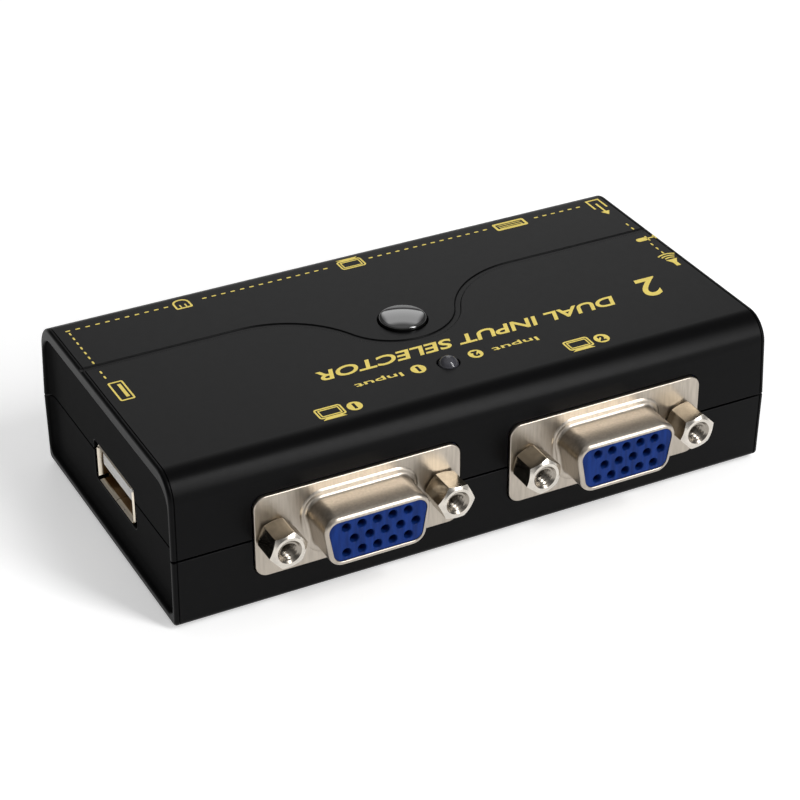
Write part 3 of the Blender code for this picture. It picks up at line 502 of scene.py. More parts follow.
def window_cutters():
    """Cutters for the sockets' openings: in the long walls, then in the floors of the ends' recesses."""

    def flange(inset):
        grown = 2 * (WINDOW_GAP - inset)
        return rounded(
            rectangle(FLANGE_WIDTH + grown, FLANGE_HEIGHT + grown), FLANGE_RADIUS + WINDOW_GAP - inset
        )

    def usb(inset):
        window = rectangle(USB_WINDOW_WIDTH - 2 * inset, USB_WINDOW_HEIGHT - 2 * inset)
        return rounded(window, USB_WINDOW_RADIUS - inset)

    def jack(inset):
        return circle((0, 0), JACK_NOSE + GAP - inset, 48)

    cutters = []
    for node, side, outline in (
        ("video_in_1_shell", -1, flange),
        ("video_in_2_shell", -1, flange),
        ("video_out_shell", 1, flange),
        ("usb_mouse_shell", 1, usb),
        ("usb_keyboard_shell", 1, usb),
    ):
        middle = sum(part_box(node), Vector()) / 2 / MM

        def wall(u, v, depth, middle=middle, side=side):
            z = middle.z + v
            return middle.x + u, side * (half_depth(z) - depth), z

        cutters.append(opening(outline, wall, WALL_HOLE_EDGE))
    for node, end, outline in (
        ("usb_hub_shell", -1, usb),
        ("mic_jack_housing", 1, jack),
        ("speaker_jack_housing", 1, jack),
    ):
        middle = sum(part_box(node), Vector()) / 2 / MM

        def floor(u, v, depth, middle=middle, end=end):
            return end * (PANEL_X - depth), middle.y + u, middle.z + v

        cutters.append(opening(outline, floor, PANEL_HOLE_EDGE))
    return cutters


def groove_line():
    """(point, angle) along the groove: straight, an S down, round the front of the button, and back."""
    turn = math.radians(BEND_TURN)
    valley_x = INNER_BEND * math.sin(turn)
    crest_x = valley_x + OUTER_BEND * math.sin(turn)
    valley_y = STRAIGHT_Y - (INNER_BEND + OUTER_BEND) * (1 - math.cos(turn))
    steps = 16
    half = []
    for step in range(steps):
        angle = turn * step / steps
        x, y = INNER_BEND * math.sin(angle), valley_y + INNER_BEND * (1 - math.cos(angle))
        half.append((Vector((x, y)), angle))
    for step in range(steps + 1):
        angle = turn * (1 - step / steps)
        x = crest_x - OUTER_BEND * math.sin(angle)
        y = STRAIGHT_Y - OUTER_BEND * (1 - math.cos(angle))
        half.append((Vector((x, y)), angle))
    half.append((Vector((LENGTH / 2 + 1.0, STRAIGHT_Y)), 0.0))
    return [(Vector((-point.x, point.y)), -angle) for point, angle in reversed(half[1:])] + half


def groove_cutter():
    """The groove's section, with soft shoulders and a filleted floor, carried along its line."""
    outer, inner, clear = GROOVE_HALF + GROOVE_SHOULDER, GROOVE_HALF - GROOVE_FILLET, 0.5
    half = arc((outer, -GROOVE_SHOULDER), GROOVE_SHOULDER, 90, 180, 4)
    half += arc((inner, -GROOVE_DEPTH + GROOVE_FILLET), GROOVE_FILLET, 0, -90, 4)
    half = [(outer, clear)] + half
    section = half + [(-across, up) for across, up in reversed(half)]
    rings = []
    for point, angle in groove_line():
        normal = Vector((-math.sin(angle), math.cos(angle)))
        rings.append([(*(point + normal * across), TOP + up) for across, up in section])
    return lofted(rings)


def round_hole(radius, low, sides, steps, centre=(0, 0, 0)):
    """A cutter for a round hole in the top, its mouth softened."""
    edge = arc((radius + TOP_HOLE_EDGE, TOP - TOP_HOLE_EDGE), TOP_HOLE_EDGE, 90, 180, steps)
    profile = [(radius + TOP_HOLE_EDGE, TOP + 1)] + edge + [(radius, low)]
    return turned(profile, sides, centre=centre)


def corner_places(x, y):
    return [(sx * x, sy * y) for sx in (-1, 1) for sy in (-1, 1)]


def finish_cover(node, cover):
    """Cuts the ends' recesses and the sockets' openings in a cover, and adds it to the model."""
    cover = combined(cover, [panel_cutter(-1), panel_cutter(1)])
    cover = combined(cover, [joined(window_cutters())])
    piece(f"{node}_shell", cover, [CASE, PANEL], [node], sharp=28, even=True)


def top_cover():
    low = PARTING + SEAM / 2
    cover = block(0, 0, low, TOP, TOP_EDGE, NEAR_EDGE, end_profile(), 16)
    cover = with_materials(cover, [CASE, PANEL])
    hollow = block(END_WALL, SIDE_WALL, PARTING - 1, TOP - SIDE_WALL, INNER_EDGE, steps=4)
    x, y = LENGTH / 2 - END_WALL + LIP_THICKNESS + GAP, DEPTH / 2 - SIDE_WALL + LIP_THICKNESS + GAP
    seat = slab((-x, -y, PARTING - 1), (x, y, low - SEAM + LIP_HEIGHT + GAP))
    cover = combined(cover, [hollow, seat])
    solids = [turned([(GUIDE_RADIUS, GUIDE_BOTTOM), (GUIDE_RADIUS, TOP - 1)])]
    pilots = []
    for x, y in corner_places(SCREW_X, SCREW_Y):
        boss = [(BOSS_RADIUS, BOSS_BOTTOM), (BOSS_RADIUS, TOP - 1)]
        solids.append(turned(boss, 32, centre=(x, y, 0)))
        pilot = [(SCREW_HOLE, BOSS_BOTTOM - 1), (SCREW_HOLE, PILOT_TOP)]
        pilots.append(turned(pilot, 24, centre=(x, y, 0)))
    cover = combined(cover, solids, "UNION")
    button = round_hole(BUTTON_HOLE, GUIDE_BOTTOM - 1, 96, 4)
    led = round_hole(LED_HOLE, LED_HOLE_BOTTOM, 64, 3, (0, LED_Y, 0))
    finish_cover("top_cover", combined(cover, pilots + [button, led, groove_cutter()]))


def bottom_hollow():
    """The inside of the bottom cover, its ends upright, so that each of them is flat."""
    x, floor, open_end = LENGTH / 2 - END_WALL, BOTTOM + SIDE_WALL, PARTING + 2
    y_low, y_high = (half_depth(z) - SIDE_WALL for z in (floor, open_end))
    outline = rounded(
        [(-y_high, open_end), (y_high, open_end), (y_low, floor), (-y_low, floor)],
        [0, 0, INNER_EDGE, INNER_EDGE],
        4,
    )
    return lofted([[(end * x, y, z) for y, z in outline] for end in (-1, 1)])


def bottom_cover():
    high = PARTING - SEAM / 2
    cover = block(0, 0, high, BOTTOM, BOTTOM_EDGE, NEAR_EDGE, end_profile(), 12)
    cover = with_materials(cover, [CASE, PANEL])
    x, y = LENGTH / 2 - END_WALL + LIP_THICKNESS, DEPTH / 2 - SIDE_WALL + LIP_THICKNESS
    lip = slab((-x, -y, PARTING - LIP_ROOT), (x, y, high + LIP_HEIGHT))
    cover = combined(cover, [lip], "UNION")
    posts, bores = [], []
    for x, y in corner_places(SCREW_X, SCREW_Y):
        post = [(POST_RADIUS, BOTTOM + 1), (POST_RADIUS, POST_TOP)]
        posts.append(turned(post, 32, centre=(x, y, 0)))
        bore = [(SCREW_HOLE, BOTTOM - 1), (SCREW_HOLE, POST_TOP + 1.4)]
        bores.append(turned(bore, 24, centre=(x, y, 0)))
        mouth = [(HEAD_HOLE + 2 * HEAD_CHAMFER, BOTTOM - HEAD_CHAMFER)]
        mouth += [(HEAD_HOLE, BOTTOM + HEAD_CHAMFER), (HEAD_HOLE, BOTTOM + 2.2)]
        bores.append(turned(mouth, 40, centre=(x, y, 0)))
    for x, y in corner_places(FOOT_X, FOOT_Y):
        seat = [(FOOT_SEAT + 0.4, BOTTOM - 0.4), (FOOT_SEAT, BOTTOM + 0.15), (FOOT_SEAT, BOTTOM + 0.6)]
        bores.append(turned(seat, 48, centre=(x, y, 0)))
    finish_cover("bottom_cover", combined(cover, [combined(bottom_hollow(), posts), *bores]))


def case_screws():
    head_top, head_bottom, tip = BOTTOM + 1.9, BOTTOM + 0.5, BOTTOM + 14.0
    profile = [(0, tip), (0.45, tip - 0.05), (1.05, tip - 1.2), (1.05, head_top), (2.2, head_top)]
    profile += [(2.3, head_top - 0.1), (2.3, head_bottom + 0.7)]
    profile += arc((1.7, head_bottom + 0.6), 0.6, 0, -90, 6)[1:] + [(0, head_bottom)]
    slot_reach, slot_half, slot_top = 1.2, 0.24, head_bottom + 0.9
    for number, (x, y) in enumerate(corner_places(SCREW_X, SCREW_Y), 1):
        screw = turned(profile, 40, centre=(x, y, 0))
        slots = [
            slab((x - a, y - b, head_bottom - 1), (x + a, y + b, slot_top))
            for a, b in ((slot_reach, slot_half), (slot_half, slot_reach))
        ]
        node = f"case_screw_{number}"
        piece(f"{node}_head", combined(screw, slots), [STEEL], [node])


def feet():
    profile = [(0, BOTTOM + 0.3), (3.9, BOTTOM + 0.3), (4.0, BOTTOM + 0.2), (4.0, 0.4)]
    profile += arc((3.6, 0.4), 0.4, 0, -90, 6)[1:] + [(3.0, 0.0), (2.8, 0.06), (0, 0.06)]
    for number, (x, y) in enumerate(corner_places(FOOT_X, FOOT_Y), 1):
        node = f"rubber_foot_{number}"
        piece(f"{node}_pad", turned(profile, 48, centre=(x, y, 0)), [RUBBER], [node])


# Button and status light.


def push_button():
    top, dome, brim = TOP + 0.95, 14.0, 0.3
    brim_x = BUTTON_RADIUS - brim
    reach = math.asin(brim_x / (dome - brim))
    brim_z = top - dome + (dome - brim) * math.cos(reach)
    turn = 90 - math.degrees(reach)
    crown = arc((0, top - dome), dome, 90, turn, 12)
    crown += arc((brim_x, brim_z), brim, turn, 0, 6)[1:]
    collar, stem = 4.8, 1.6
    collar_top, collar_low = GUIDE_BOTTOM - GAP, GUIDE_BOTTOM - GAP - 1.0
    stem_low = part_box("push_button_cap")[0].z / MM + 2.0
    profile = crown + [(BUTTON_RADIUS, collar_top), (collar, collar_top), (collar, collar_low)]
    profile += [(stem, collar_low), (stem, stem_low), (0, stem_low)]
    cap = turned(profile, 96)
    piece("push_button", cap, [GLOSS], ["push_button_cap"], "button", sharp=40)


def status_led():
    top, length = TOP + 1.0, 5.3
    low = top - length
    profile = arc((0, top - LED_RADIUS), LED_RADIUS, 90, 0, 12)
    profile += [(LED_RADIUS, low + 1.1), (1.8, low + 1.0), (1.9, low + 0.9), (1.9, low), (0, low)]
    lens = turned(profile, 48, centre=(0, LED_Y, 0))
    piece("status_led_body", lens, [LENS], ["status_led_lens"], sharp=40)
    cup = [(0.25, low + 0.4), (0.25, low + 1.9), (0.7, low + 2.5), (0.62, low + 2.5), (0.3, low + 2.15)]
    cup += [(0, low + 2.15)]
    mesh = joined(
        [
            turned(cup, 24, centre=(-0.35, LED_Y, 0)),
            soft_slab((0.45, LED_Y - 0.25, low + 0.4), (0.85, LED_Y + 0.25, low + 2.45), 0.06, 2),
        ]
    )
    piece("status_led_cup", mesh, [TIN])


# Video sockets.


def d_outline(inset):
    """The D of a video socket's shell, its wide side up."""
    height = D_HEIGHT - 2 * inset
    top = D_WIDTH / 2 - inset
    bottom = top - height * D_SLANT
    corners = [(-bottom, -height / 2), (bottom, -height / 2), (top, height / 2), (-top, height / 2)]
    return rounded(corners, D_RADIUS - inset, 10)


def along_y(outline, profile, closed=False):
    """Rings of an outline, drawn in by each inset of the profile, set at its depths along Y."""
    return lofted([[(x, y, z) for x, z in outline(inset)] for inset, y in profile], closed)


def edge_profile(near, far, radius):
    """(inset, y) of a plate's rim with both of its edges rounded."""
    front = [(radius * (1 - math.sin(a)), near + radius * (1 - math.cos(a))) for a in quarter(3)]
    return front + [(inset, far + near - y) for inset, y in reversed(front)]


def video_shell():
    """The flange with its two holes, and the formed D, joined to it by a fillet."""
    plate = along_y(
        lambda inset: rounded(
            rectangle(FLANGE_WIDTH - 2 * inset, FLANGE_HEIGHT - 2 * inset), FLANGE_RADIUS - inset, 10
        ),
        edge_profile(0, FLANGE_THICKNESS, 0.15),
    )
    cutters = [along_y(d_outline, [(-0.6, -2), (-0.6, 2)])]
    for side in (-1, 1):
        hole = [(JACKSCREW_HOLE, -2), (JACKSCREW_HOLE, 2)]
        cutters.append(turned(hole, 32, axis="Y", centre=(side * JACKSCREW_X, 0, 0)))
    plate = combined(plate, cutters)
    fillet, front, raised = 0.55, 0.62, 0.22
    profile = [(-1.25, 0.05), (-1.05, -0.10), (-0.85, -0.20), (-0.70, -raised)]
    profile += arc((-fillet, -raised - fillet), fillet, 90, 0, 6)
    profile += [
        (front - front * math.cos(a), -D_REACH + front - front * math.sin(a)) for a in quarter(8)
    ]
    profile += [(0.70, -D_REACH), (0.76, -5.79), (0.78, -5.7), (0.78, -4.9), (0.5, -4.6), (0.5, 0.75)]
    profile += [(-1.3, 0.75)]
    return combined(plate, [along_y(d_outline, profile, closed=True)], "UNION")


def pin_places():
    """(x, z) of the 15 contacts, in three rows with the middle one shifted."""
    for row, shift in zip((1, 0, -1), PIN_ROW_SHIFTS):
        for column in range(-2, 3):
            yield column * PIN_PITCH + shift, row * PIN_ROW_PITCH


def video_insulator():
    """The blue block, with a countersunk hole for each contact."""
    body = along_y(d_outline, [(0.8, 0.8), (0.8, -5.62), (0.82, -5.68), (0.88, -5.70)])
    hole = [(0.76, -6.2), (0.76, -5.70), (0.66, -5.60), (0.64, -5.2), (0.64, -1.5)]
    holes = joined([turned(hole, 20, axis="Y", centre=(x, 0, z)) for x, z in pin_places()])
    return combined(body, [holes])


def video_contacts():
    tube = [(0.50, -1.0), (0.50, -3.4), (0.44, -3.5), (0.30, -3.4), (0.30, -1.0)]
    return joined(
        [turned(tube, 12, closed=True, axis="Y", centre=(x, 0, z)) for x, z in pin_places()]
    )


def jackscrew():
    """A hexagon with coned ends, a neck and a threaded bore. Its face gets a lighter copy of the nickel as
    painted highlight, and its sides and bore get darker copies as painted shade.
    """
    corner = JACKSCREW_FLATS / 2 / math.cos(math.pi / 6)
    hexagon = circle((0, 0), corner, 6)
    root = -0.1
    nut = along_y(lambda inset: rounded(hexagon, 0.12, 3), [(0, root), (0, -JACKSCREW_REACH)])
    face, cone_radius, slope = 2.15, 3.2, math.tan(math.radians(32))
    fall = (cone_radius - face) * slope
    # The cones end just past the hexagon, so that no two faces lie together.
    cone = [(face, -JACKSCREW_REACH - 0.001), (cone_radius, -JACKSCREW_REACH + fall)]
    cone += [(cone_radius, root - fall), (face, root + 0.001)]
    nut = combined(nut, [turned(cone, 64, axis="Y")], "INTERSECT")
    neck = [(2.1, -0.6), (2.1, 0.0), (1.5, 0.0), (1.5, 6.4), (1.35, 6.5)]
    nut = combined(nut, [turned(neck, 48, axis="Y")], "UNION")
    major, ridge, mouth = 1.42, 0.30, 1.75
    start, turns, rows, sides = -JACKSCREW_REACH - 0.4, 6, 8, 32
    rings = []
    for row in range(rows * turns + 1):
        y = start + THREAD_PITCH * row / rows
        ring = []
        for step in range(sides):
            share = step / sides
            phase = (y / THREAD_PITCH - share) % 1
            flare = max(0.0, mouth - major - max(0.0, y + JACKSCREW_REACH))
            radius = max(major - ridge * abs(2 * phase - 1), 0) if flare <= 0 else major + flare
            angle = 2 * math.pi * share
            ring.append((radius * math.cos(angle), y, radius * math.sin(angle)))
        rings.append(ring)
    nut, bore = (with_materials(mesh, [SCREW_FACE_PAINTED_LIGHT, SCREW_SIDES_PAINTED_SHADE, THREAD_PAINTED_SHADE]) for mesh in (nut, lofted(rings)))
    # Faces that look forward get the lighter copy of the nickel, which is painted highlight. All other
    # faces get a darker copy, which is painted shade.
    for polygon in nut.polygons:
        gets_painted_light = polygon.normal.y < -0.3
        polygon.material_index = 0 if gets_painted_light else 1
    # The whole bore gets a darker copy of the nickel, which is painted shade.
    for polygon in bore.polygons:
        polygon.material_index = 2
    return combined(nut, [bore])


def video_sockets():
    shell, insulator, contacts, screw = video_shell(), video_insulator(), video_contacts(), jackscrew()
    for name, turn in (("video_in_1", 0), ("video_in_2", 0), ("video_out", 180)):
        place = facing(f"{name}_shell", turn, D_REACH)
        piece(
            f"{name}_socket", shell.copy(), [NICKEL], [f"{name}_shell"],
            place=place, even=True,
        )
        piece(
            f"{name}_block", insulator.copy(), [BLUE], [f"{name}_insulator"],
            place=place,
        )
        piece(f"{name}_contacts", contacts.copy(), [GOLD], place=place)
        for side, label, angle in zip((-1, 1), ("left", "right"), JACKSCREW_TURNS[name]):
            node = f"{name}_jackscrew_{label}"
            spin = Matrix.Rotation(-math.radians(angle), 4, "Y")
            seat = place @ Matrix.Translation((side * JACKSCREW_X, 0, 0)) @ spin
            piece(
                f"{node}_hex", screw.copy(), [SCREW_FACE_PAINTED_LIGHT, SCREW_SIDES_PAINTED_SHADE, THREAD_PAINTED_SHADE], [node],
                place=seat, sharp=20,
            )


# USB sockets and audio jacks.


def usb_outline(inset):
    return rounded(rectangle(USB_WIDTH - 2 * inset, USB_HEIGHT - 2 * inset), USB_RADIUS - inset, 6)


def usb_shell():
    """A folded sheet with a flared lip, cut at its corners and with a seam below."""
    bend, root, sweep = 0.5, 0.5, 50
    cut_half, cut_depth, seam_half = 0.28, 1.3, 0.06
    angles = [math.radians(sweep * step / 6) for step in range(7)]
    outer, inner = (
        [(-bend + radius * math.cos(a), root - radius * math.sin(a)) for a in angles]
        for radius in (bend, bend + USB_WALL)
    )
    profile = [(0, USB_DEPTH)] + outer + inner[::-1] + [(USB_WALL, USB_DEPTH)]
    shell = along_y(usb_outline, profile, closed=True)
    cutters = []
    for x, z in corner_places(USB_WIDTH / 2 - 0.2, USB_HEIGHT / 2 - 0.2):
        cut = slab((-cut_half, -1, -1.5), (cut_half, cut_depth, 1.5))
        slant = Matrix.Rotation(math.radians(45) * math.copysign(1, x * z), 4, "Y")
        cut.transform(Matrix.Translation((x, 0, z)) @ slant)
        cutters.append(cut)
    cutters.append(slab((-seam_half, -1, -4), (seam_half, 3, -2)))
    shell = combined(shell, cutters)
    # Faces behind the lip, inside the shell, get the darker copy of the metal, which is painted shade.
    for face in shell.polygons:
        face.material_index = int(face.center.y > root)
    return shell


def usb_tongue():
    """The plastic blade, with ribs between its contacts and the block that closes the back of the shell."""
    middle = (TONGUE_LOW + TONGUE_HIGH) / 2
    thickness = TONGUE_HIGH - TONGUE_LOW

    def blade(inset):
        corners = rectangle(TONGUE_WIDTH - 2 * inset, thickness - 2 * inset)
        return [(x, z + middle) for x, z in rounded(corners, 0.5 - inset, 5)]

    tongue = along_y(blade, [(0.25, TONGUE_SETBACK), (0.1, TONGUE_SETBACK + 0.08), (0, 1.2), (0, 11)])
    width, height = (outside - 2 * (USB_WALL + GAP) for outside in (USB_WIDTH, USB_HEIGHT))
    back = soft_slab((-width / 2, 9.8, -height / 2), (width / 2, 13.4, height / 2), 0.2, 2)
    ribs = [
        soft_slab((x - 0.3, 1.0, TONGUE_LOW - 0.35), (x + 0.3, 9.9, TONGUE_LOW + 0.3), 0.08, 2)
        for x in (-2.25, 0.0, 2.25, 5.0, -5.0)
    ]
    return combined(tongue, [back, *ribs], "UNION")


def usb_contacts():
    return joined(
        [
            soft_slab((x - 0.5, 1.6, TONGUE_LOW - 0.22), (x + 0.5, 9.6, TONGUE_LOW + 0.1), 0.08, 2)
            for x in (-3.5, -1.0, 1.0, 3.5)
        ]
    )


def usb_sockets():
    shell, tongue, contacts = usb_shell(), usb_tongue(), usb_contacts()
    for name, turn in (("usb_mouse", 180), ("usb_keyboard", 180), ("usb_hub", -90)):
        place = facing(f"{name}_shell", turn, 0)
        piece(
            f"{name}_socket", shell.copy(), [LIP, USB_INSIDE_PAINTED_SHADE], [f"{name}_shell"],
            place=place, sharp=40,
        )
        piece(
            f"{name}_blade", tongue.copy(), [PALE], [f"{name}_tongue"], place=place
        )
        piece(f"{name}_contacts", contacts.copy(), [GOLD], place=place)


def audio_jacks():
    nose = [(JACK_NOSE, 3.0), (JACK_NOSE, 0.25), (JACK_NOSE - 0.07, 0.07), (JACK_NOSE - 0.25, 0.0)]
    nose += [(JACK_BORE + 0.1, 0.0), (JACK_BORE, 0.1), (JACK_BORE, 10.8)]
    ring = [(SLEEVE_OUTER, 9.0), (SLEEVE_OUTER, 0.2), (SLEEVE_OUTER - 0.08, 0.06)]
    ring += [(SLEEVE_BORE + 0.12, 0.0), (SLEEVE_BORE, 0.2), (SLEEVE_BORE, 9.0)]
    for name in ("mic_jack", "speaker_jack"):
        place = facing(f"{name}_housing", 90, 0)
        body = soft_slab((-3.1, 2.0, -3.0), (3.1, 13.0, 3.0), 0.2)
        body = combined(body, [turned([(JACK_NOSE, 1.0), (JACK_NOSE, 4.0)], 64, axis="Y")], "UNION")
        nose_front = turned(nose[:4] + [(0, 0.0)], 64, axis="Y")
        body = combined(body, [nose_front], "UNION")
        bore = turned([(JACK_BORE + 0.1, -1)] + nose[4:], 64, axis="Y")
        body = combined(body, [bore])
        piece(f"{name}_body", body, [NYLON], [f"{name}_housing"], place=place)
        sleeve = turned(ring, 48, closed=True, axis="Y")
        piece(f"{name}_ring", sleeve, [TIN], [f"{name}_sleeve"], place=place)


# Print on the top, in thin raised ink.

INK_HEIGHT = 0.03


def stamped(mesh, x, y, turn=180):
    """A drawing moved to its place on the top, just sunk in it. Turned by 180 degrees, it reads from +Y."""
    mesh.transform(
        Matrix.Translation((x, y, TOP + INK_HEIGHT / 2 - 0.005))
        @ Matrix.Rotation(math.radians(turn), 4, "Z")
    )
    return mesh


def bar(x, y, width, height):
    """A rectangle's outline, centred at a point."""
    return [(x + u, y + v) for u, v in rectangle(width, height)]


def frame_outline(width, height, line, radius):
    """A rounded rectangle and its hole."""
    return [
        rounded(rectangle(width, height), radius, 4),
        rounded(rectangle(width - 2 * line, height - 2 * line), max(radius - line, 0.05), 4),
    ]


def numbered_disc(number, diameter):
    disc = drawn([circle((0, 0), diameter / 2)], INK_HEIGHT)
    figure = lettering(str(number), diameter * 0.66, 1.0, bold=0.16)
    return combined(disc, [figure])


def symbol(*shapes):
    """A symbol made of shapes, each of them a list of an outline and any holes in it."""
    return joined([drawn(shape, INK_HEIGHT) for shape in shapes])


def screen_symbol():
    stand = [(-1.1, -1.28), (-1.75, -1.75), (1.75, -1.75), (1.1, -1.28)]
    return symbol(frame_outline(4.0, 2.6, 0.26, 0.45), frame_outline(3.1, 1.75, 0.2, 0.15), [stand])


def keyboard_symbol():
    rows = [[bar(0, y, 4.0, 0.14)] for y in (-0.35, 0.15, 0.55)]
    return symbol(frame_outline(5.4, 2.2, 0.4, 0.3), *rows)


def mouse_symbol():
    body = rounded(rectangle(2.6, 2.7), [1.2, 1.2, 0.3, 0.3], 8)
    hollow = rounded(rectangle(2.0, 2.1), [0.9, 0.9, 0.1, 0.1], 8)
    return symbol([body, hollow], *[[bar(x, 0.65, 0.22, 0.9)] for x in (-0.4, 0.4)])


def microphone_symbol():
    head = rounded(bar(-0.6, 0, 1.9, 1.0), 0.45, 6)
    stem, foot, cradle = bar(0.95, 0, 1.3, 0.26), bar(1.6, 0, 0.26, 1.2), bar(0.35, 0, 0.26, 1.5)
    return symbol([head], [stem], [foot], [cradle])


def speaker_symbol():
    cone = [(-1.0, -0.35), (0.1, -0.35), (1.1, -0.95), (1.1, 0.95), (0.1, 0.35), (-1.0, 0.35)]
    middle, half_line, sweep = (0.2, 0), 0.12, 32
    waves = [
        arc(middle, radius + half_line, -sweep, sweep, 8)
        + arc(middle, radius - half_line, sweep, -sweep, 8)
        for radius in (1.5, 2.1, 2.7)
    ]
    return symbol([cone], *[[wave] for wave in waves])


def port_symbol():
    return symbol(frame_outline(5.2, 2.2, 0.26, 0.3), [bar(0, 0.3, 3.6, 0.5)])


def leaving_symbol():
    """An arrow that leaves a box."""
    box = [(0.4, -1.2), (-2.6, -1.2), (-2.6, 1.2), (0.4, 1.2), (0.4, 0.9), (-2.3, 0.9)]
    box += [(-2.3, -0.9), (0.4, -0.9)]
    half = [(-1.2, 0.16), (1.6, 0.16), (1.6, 0.75)]
    arrow = [(x, -y) for x, y in half] + [(2.8, 0)] + half[::-1]
    return symbol([box], [arrow])


def dashes(start, end, gaps=()):
    """Round-ended dashes along X or Y, with gaps where something else is printed."""
    pitch, length, width = 1.5, 0.72, 0.26
    along = 0 if abs(end[0] - start[0]) > abs(end[1] - start[1]) else 1
    count = int(abs(end[along] - start[along]) / pitch)
    sign = math.copysign(1, end[along] - start[along])
    outline = rounded(rectangle(length, width), width / 2, 4)
    outlines = []
    for number in range(count + 1):
        centre = list(start)
        centre[along] += sign * pitch * number
        if any(low < centre[along] < high for low, high in gaps):
            continue
        outlines.append([(centre[0] + (u, v)[along], centre[1] + (v, u)[along]) for u, v in outline])
    mesh = drawn(outlines, INK_HEIGHT)
    return stamped(mesh, 0, 0, 0)


def draped(mesh):
    """Print that follows the rounding of the top's long edges where it reaches over them."""
    start = half_depth(TOP) - TOP_EDGE
    for vertex in mesh.vertices:
        over = abs(vertex.co.y) - start
        if over > 0:
            vertex.co.z -= TOP_EDGE - math.sqrt(TOP_EDGE**2 - over**2)
    return mesh


def print_on_top():
    title = lettering("DUAL INPUT SELECTOR", 2.5, INK_HEIGHT, 47.6, slant=0.25, bold=0.07)
    figure = lettering("2", 5.2, INK_HEIGHT, 3.9, slant=0.25, bold=0.1)
    words = [stamped(title, 30.0, -7.8), stamped(figure, 38.6, -5.5)]
    for x in (-7.0, 14.4):
        word = lettering("Input", 1.35, INK_HEIGHT, 7.2, bold=0.02)
        words.append(stamped(word, x, -12.75))
    symbols = [
        stamped(numbered_disc(1, 2.2), -4.5, -13.4),
        stamped(numbered_disc(2, 2.2), 4.5, -13.4),
        stamped(screen_symbol(), -20.2, -17.9, 0),
        stamped(numbered_disc(1, 2.2), -16.6, -18.1, 0),
        stamped(screen_symbol(), 18.6, -17.6, 0),
        stamped(numbered_disc(2, 2.3), 22.3, -17.8, 0),
        stamped(screen_symbol(), 1.0, 18.6),
        stamped(keyboard_symbol(), 28.2, 18.75),
        stamped(mouse_symbol(), -26.2, 18.85),
        stamped(microphone_symbol(), 44.0, 5.1, 0),
        stamped(speaker_symbol(), 43.9, -3.4, 90),
        stamped(port_symbol(), -42.9, 0.15, -90),
        stamped(leaving_symbol(), 43.5, 17.5, -90),
    ]
    lines = [
        dashes((-43.6, 18.95), (44.3, 18.95), [(-28.6, -23.9), (-2.2, 4.2), (24.6, 31.8), (41.5, 46)]),
        dashes((-43.6, 18.0), (-43.6, 3.6), [(6.9, 8.9)]),
        dashes((44.1, 10.4), (44.1, 8.9)),
        dashes((43.9, 3.1), (43.9, -1.3)),
    ]
    piece("top_print_words", draped(joined(words)), [INK], sharp=30)
    piece("top_print_symbols", draped(joined(symbols)), [INK], sharp=30)
    piece("top_print_lines", draped(joined(lines)), [INK], sharp=30)


# Inner parts that stay as the CAD has them.

INNER = (
    (GREEN, "board_green", ["circuit_board"]),
    (EPOXY, "chip_epoxy", ["controller_chip", "video_switch_chip_1", "video_switch_chip_2"]),
    (EPOXY, "chip_epoxy", ["capacitor_1", "capacitor_2"]),
    (STEEL, "steel", ["crystal", "tact_switch_cover", "tact_switch_dome"]),
    (NYLON, "nylon_black", ["tact_switch_body", "tact_switch_plunger"]),
    (TIN, "contact_tin", ["status_led_anode", "status_led_cathode"]),
    (BLUE, "connector_blue", [f"video_{name}_housing" for name in ("in_1", "in_2", "out")]),
)


def dress_inner():
    for material, slot, names in INNER:
        for name in names:
            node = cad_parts[name]
            node.data.materials.clear()
            with_materials(node.data, [material])


# Studio.

FLOOR_REACH = 3
SOFTBOX_AZIMUTH, SOFTBOX_LIGHT = 27.0, 1.3
KEY_DIRECTION, KEY_DISTANCE, KEY_WIDTH, KEY_HEIGHT, KEY_POWER = (0.39, -0.73, 0.56), 1.2, 0.3, 1.1, 12.0
CAMERA_AZIMUTH, CAMERA_ELEVATION, CAMERA_ROLL, CAMERA_LENS = 27.126, 31.216, -0.258, 107.79
CAMERA_PLACE = (-0.13639, -0.26528, 0.19092)


def add_floor():
    mesh = bpy.data.meshes.new("floor")
    corners = [(x, y, 0) for x, y in rectangle(2 * FLOOR_REACH, 2 * FLOOR_REACH)]
    mesh.from_pydata(corners, [], [(0, 1, 2, 3)])
    mesh.materials.append(FLOOR)
    added("floor", mesh)


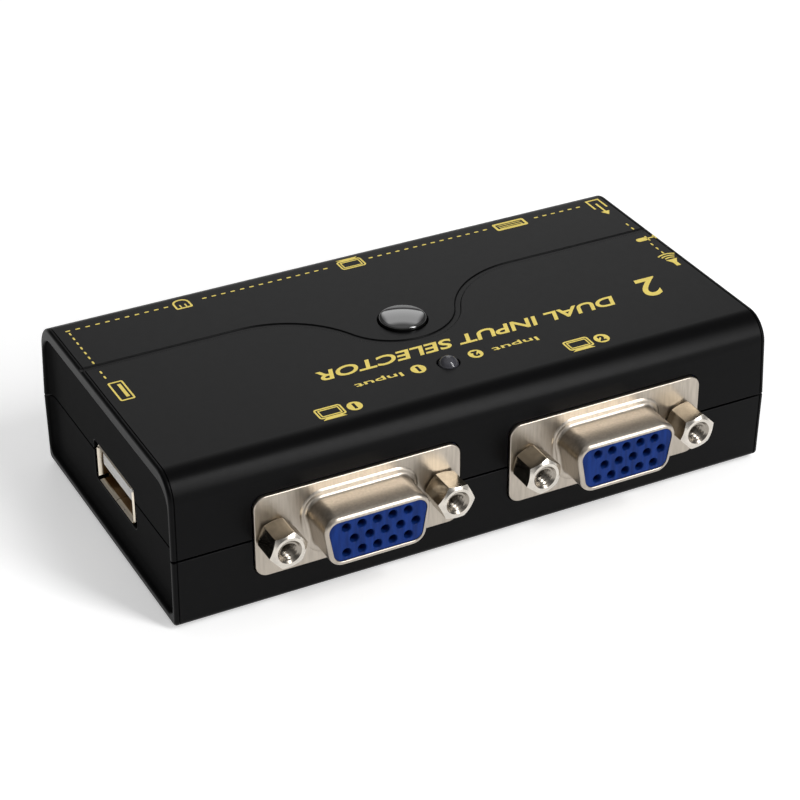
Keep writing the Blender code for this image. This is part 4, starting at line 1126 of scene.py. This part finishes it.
def add_world():
    """A dim room with a pale horizon and ceiling, and one tall softbox behind the object."""
    world = bpy.data.worlds.new("studio")
    SCENE.world = world
    world.use_nodes = True
    nodes, links = world.node_tree.nodes, world.node_tree.links
    background = nodes["Background"]
    direction = nodes.new("ShaderNodeTexCoord").outputs["Generated"]
    split = nodes.new("ShaderNodeSeparateXYZ")
    links.new(direction, split.inputs["Vector"])
    room = nodes.new("ShaderNodeValToRGB")
    # (height, light): pale up to just over the horizon, dim above it, and pale again overhead.
    stops = ((0.0, 0.5), (0.19, 0.5), (0.22, 0.12), (0.6, 0.15), (0.85, 0.5), (1.0, 0.5))
    elements = room.color_ramp.elements
    elements[0].position, elements[1].position = stops[0][0], stops[-1][0]
    for position, _ in stops[1:-1]:
        elements.new(position)
    for element, (_, value) in zip(elements, stops):
        element.color = (value, value, value, 1)
    links.new(split.outputs["Z"], room.inputs["Fac"])

    def along(axis):
        dot = nodes.new("ShaderNodeVectorMath")
        dot.operation = "DOT_PRODUCT"
        dot.inputs[1].default_value = axis
        links.new(direction, dot.inputs[0])
        return dot.outputs["Value"]

    def soft_step(value, none, full):
        step = nodes.new("ShaderNodeMapRange")
        step.interpolation_type = "SMOOTHSTEP"
        step.inputs["From Min"].default_value = none
        step.inputs["From Max"].default_value = full
        links.new(value, step.inputs["Value"])
        return step.outputs["Result"]

    def computed(operation, first, second):
        node = nodes.new("ShaderNodeMath")
        node.operation = operation
        for value, socket in zip((first, second), node.inputs):
            if isinstance(value, float):
                socket.default_value = value
            else:
                links.new(value, socket)
        return node.outputs["Value"]

    # The softbox is behind the object, narrow and between two heights. Each of its edges is soft.
    turn = math.radians(SOFTBOX_AZIMUTH)
    across = computed("ABSOLUTE", along((math.cos(turn), -math.sin(turn), 0)), 0.0)
    softbox = SOFTBOX_LIGHT
    for edge in (
        soft_step(along((math.sin(turn), math.cos(turn), 0)), 0.0, 0.1),
        soft_step(across, 0.24, 0.17),
        soft_step(split.outputs["Z"], 0.27, 0.32),
        soft_step(split.outputs["Z"], 0.80, 0.70),
    ):
        softbox = computed("MULTIPLY", edge, softbox)
    links.new(computed("ADD", softbox, room.outputs["Color"]), background.inputs["Color"])


def add_key_light():
    """A tall soft light that looks at the object from the front right."""
    data = bpy.data.lights.new("key", "AREA")
    data.shape = "RECTANGLE"
    data.size, data.size_y = KEY_WIDTH, KEY_HEIGHT
    data.energy = KEY_POWER
    light = added("key", data)
    towards = Vector(KEY_DIRECTION).normalized()
    light.location = towards * KEY_DISTANCE
    light.rotation_euler = towards.to_track_quat("Z", "Y").to_euler()


def add_camera():
    azimuth, elevation, roll = map(math.radians, (CAMERA_AZIMUTH, CAMERA_ELEVATION, CAMERA_ROLL))
    back = Vector(
        (
            -math.sin(azimuth) * math.cos(elevation),
            -math.cos(azimuth) * math.cos(elevation),
            math.sin(elevation),
        )
    )
    right = Vector((0, 0, 1)).cross(back).normalized()
    up = back.cross(right)
    rolled_right = math.cos(roll) * right + math.sin(roll) * up
    rolled_up = math.cos(roll) * up - math.sin(roll) * right
    data = bpy.data.cameras.new("camera")
    data.lens = CAMERA_LENS
    data.sensor_width = 36
    data.clip_start, data.clip_end = 0.01, 20
    camera = added("camera", data)
    rotation = Matrix((rolled_right, rolled_up, back)).transposed().to_4x4()
    camera.matrix_world = Matrix.Translation(CAMERA_PLACE) @ rotation
    SCENE.camera = camera


top_cover()
bottom_cover()
case_screws()
feet()
push_button()
status_led()
video_sockets()
usb_sockets()
audio_jacks()
print_on_top()
dress_inner()
add_floor()
add_world()
add_key_light()
add_camera()
SCENE.view_settings.view_transform = "Standard"
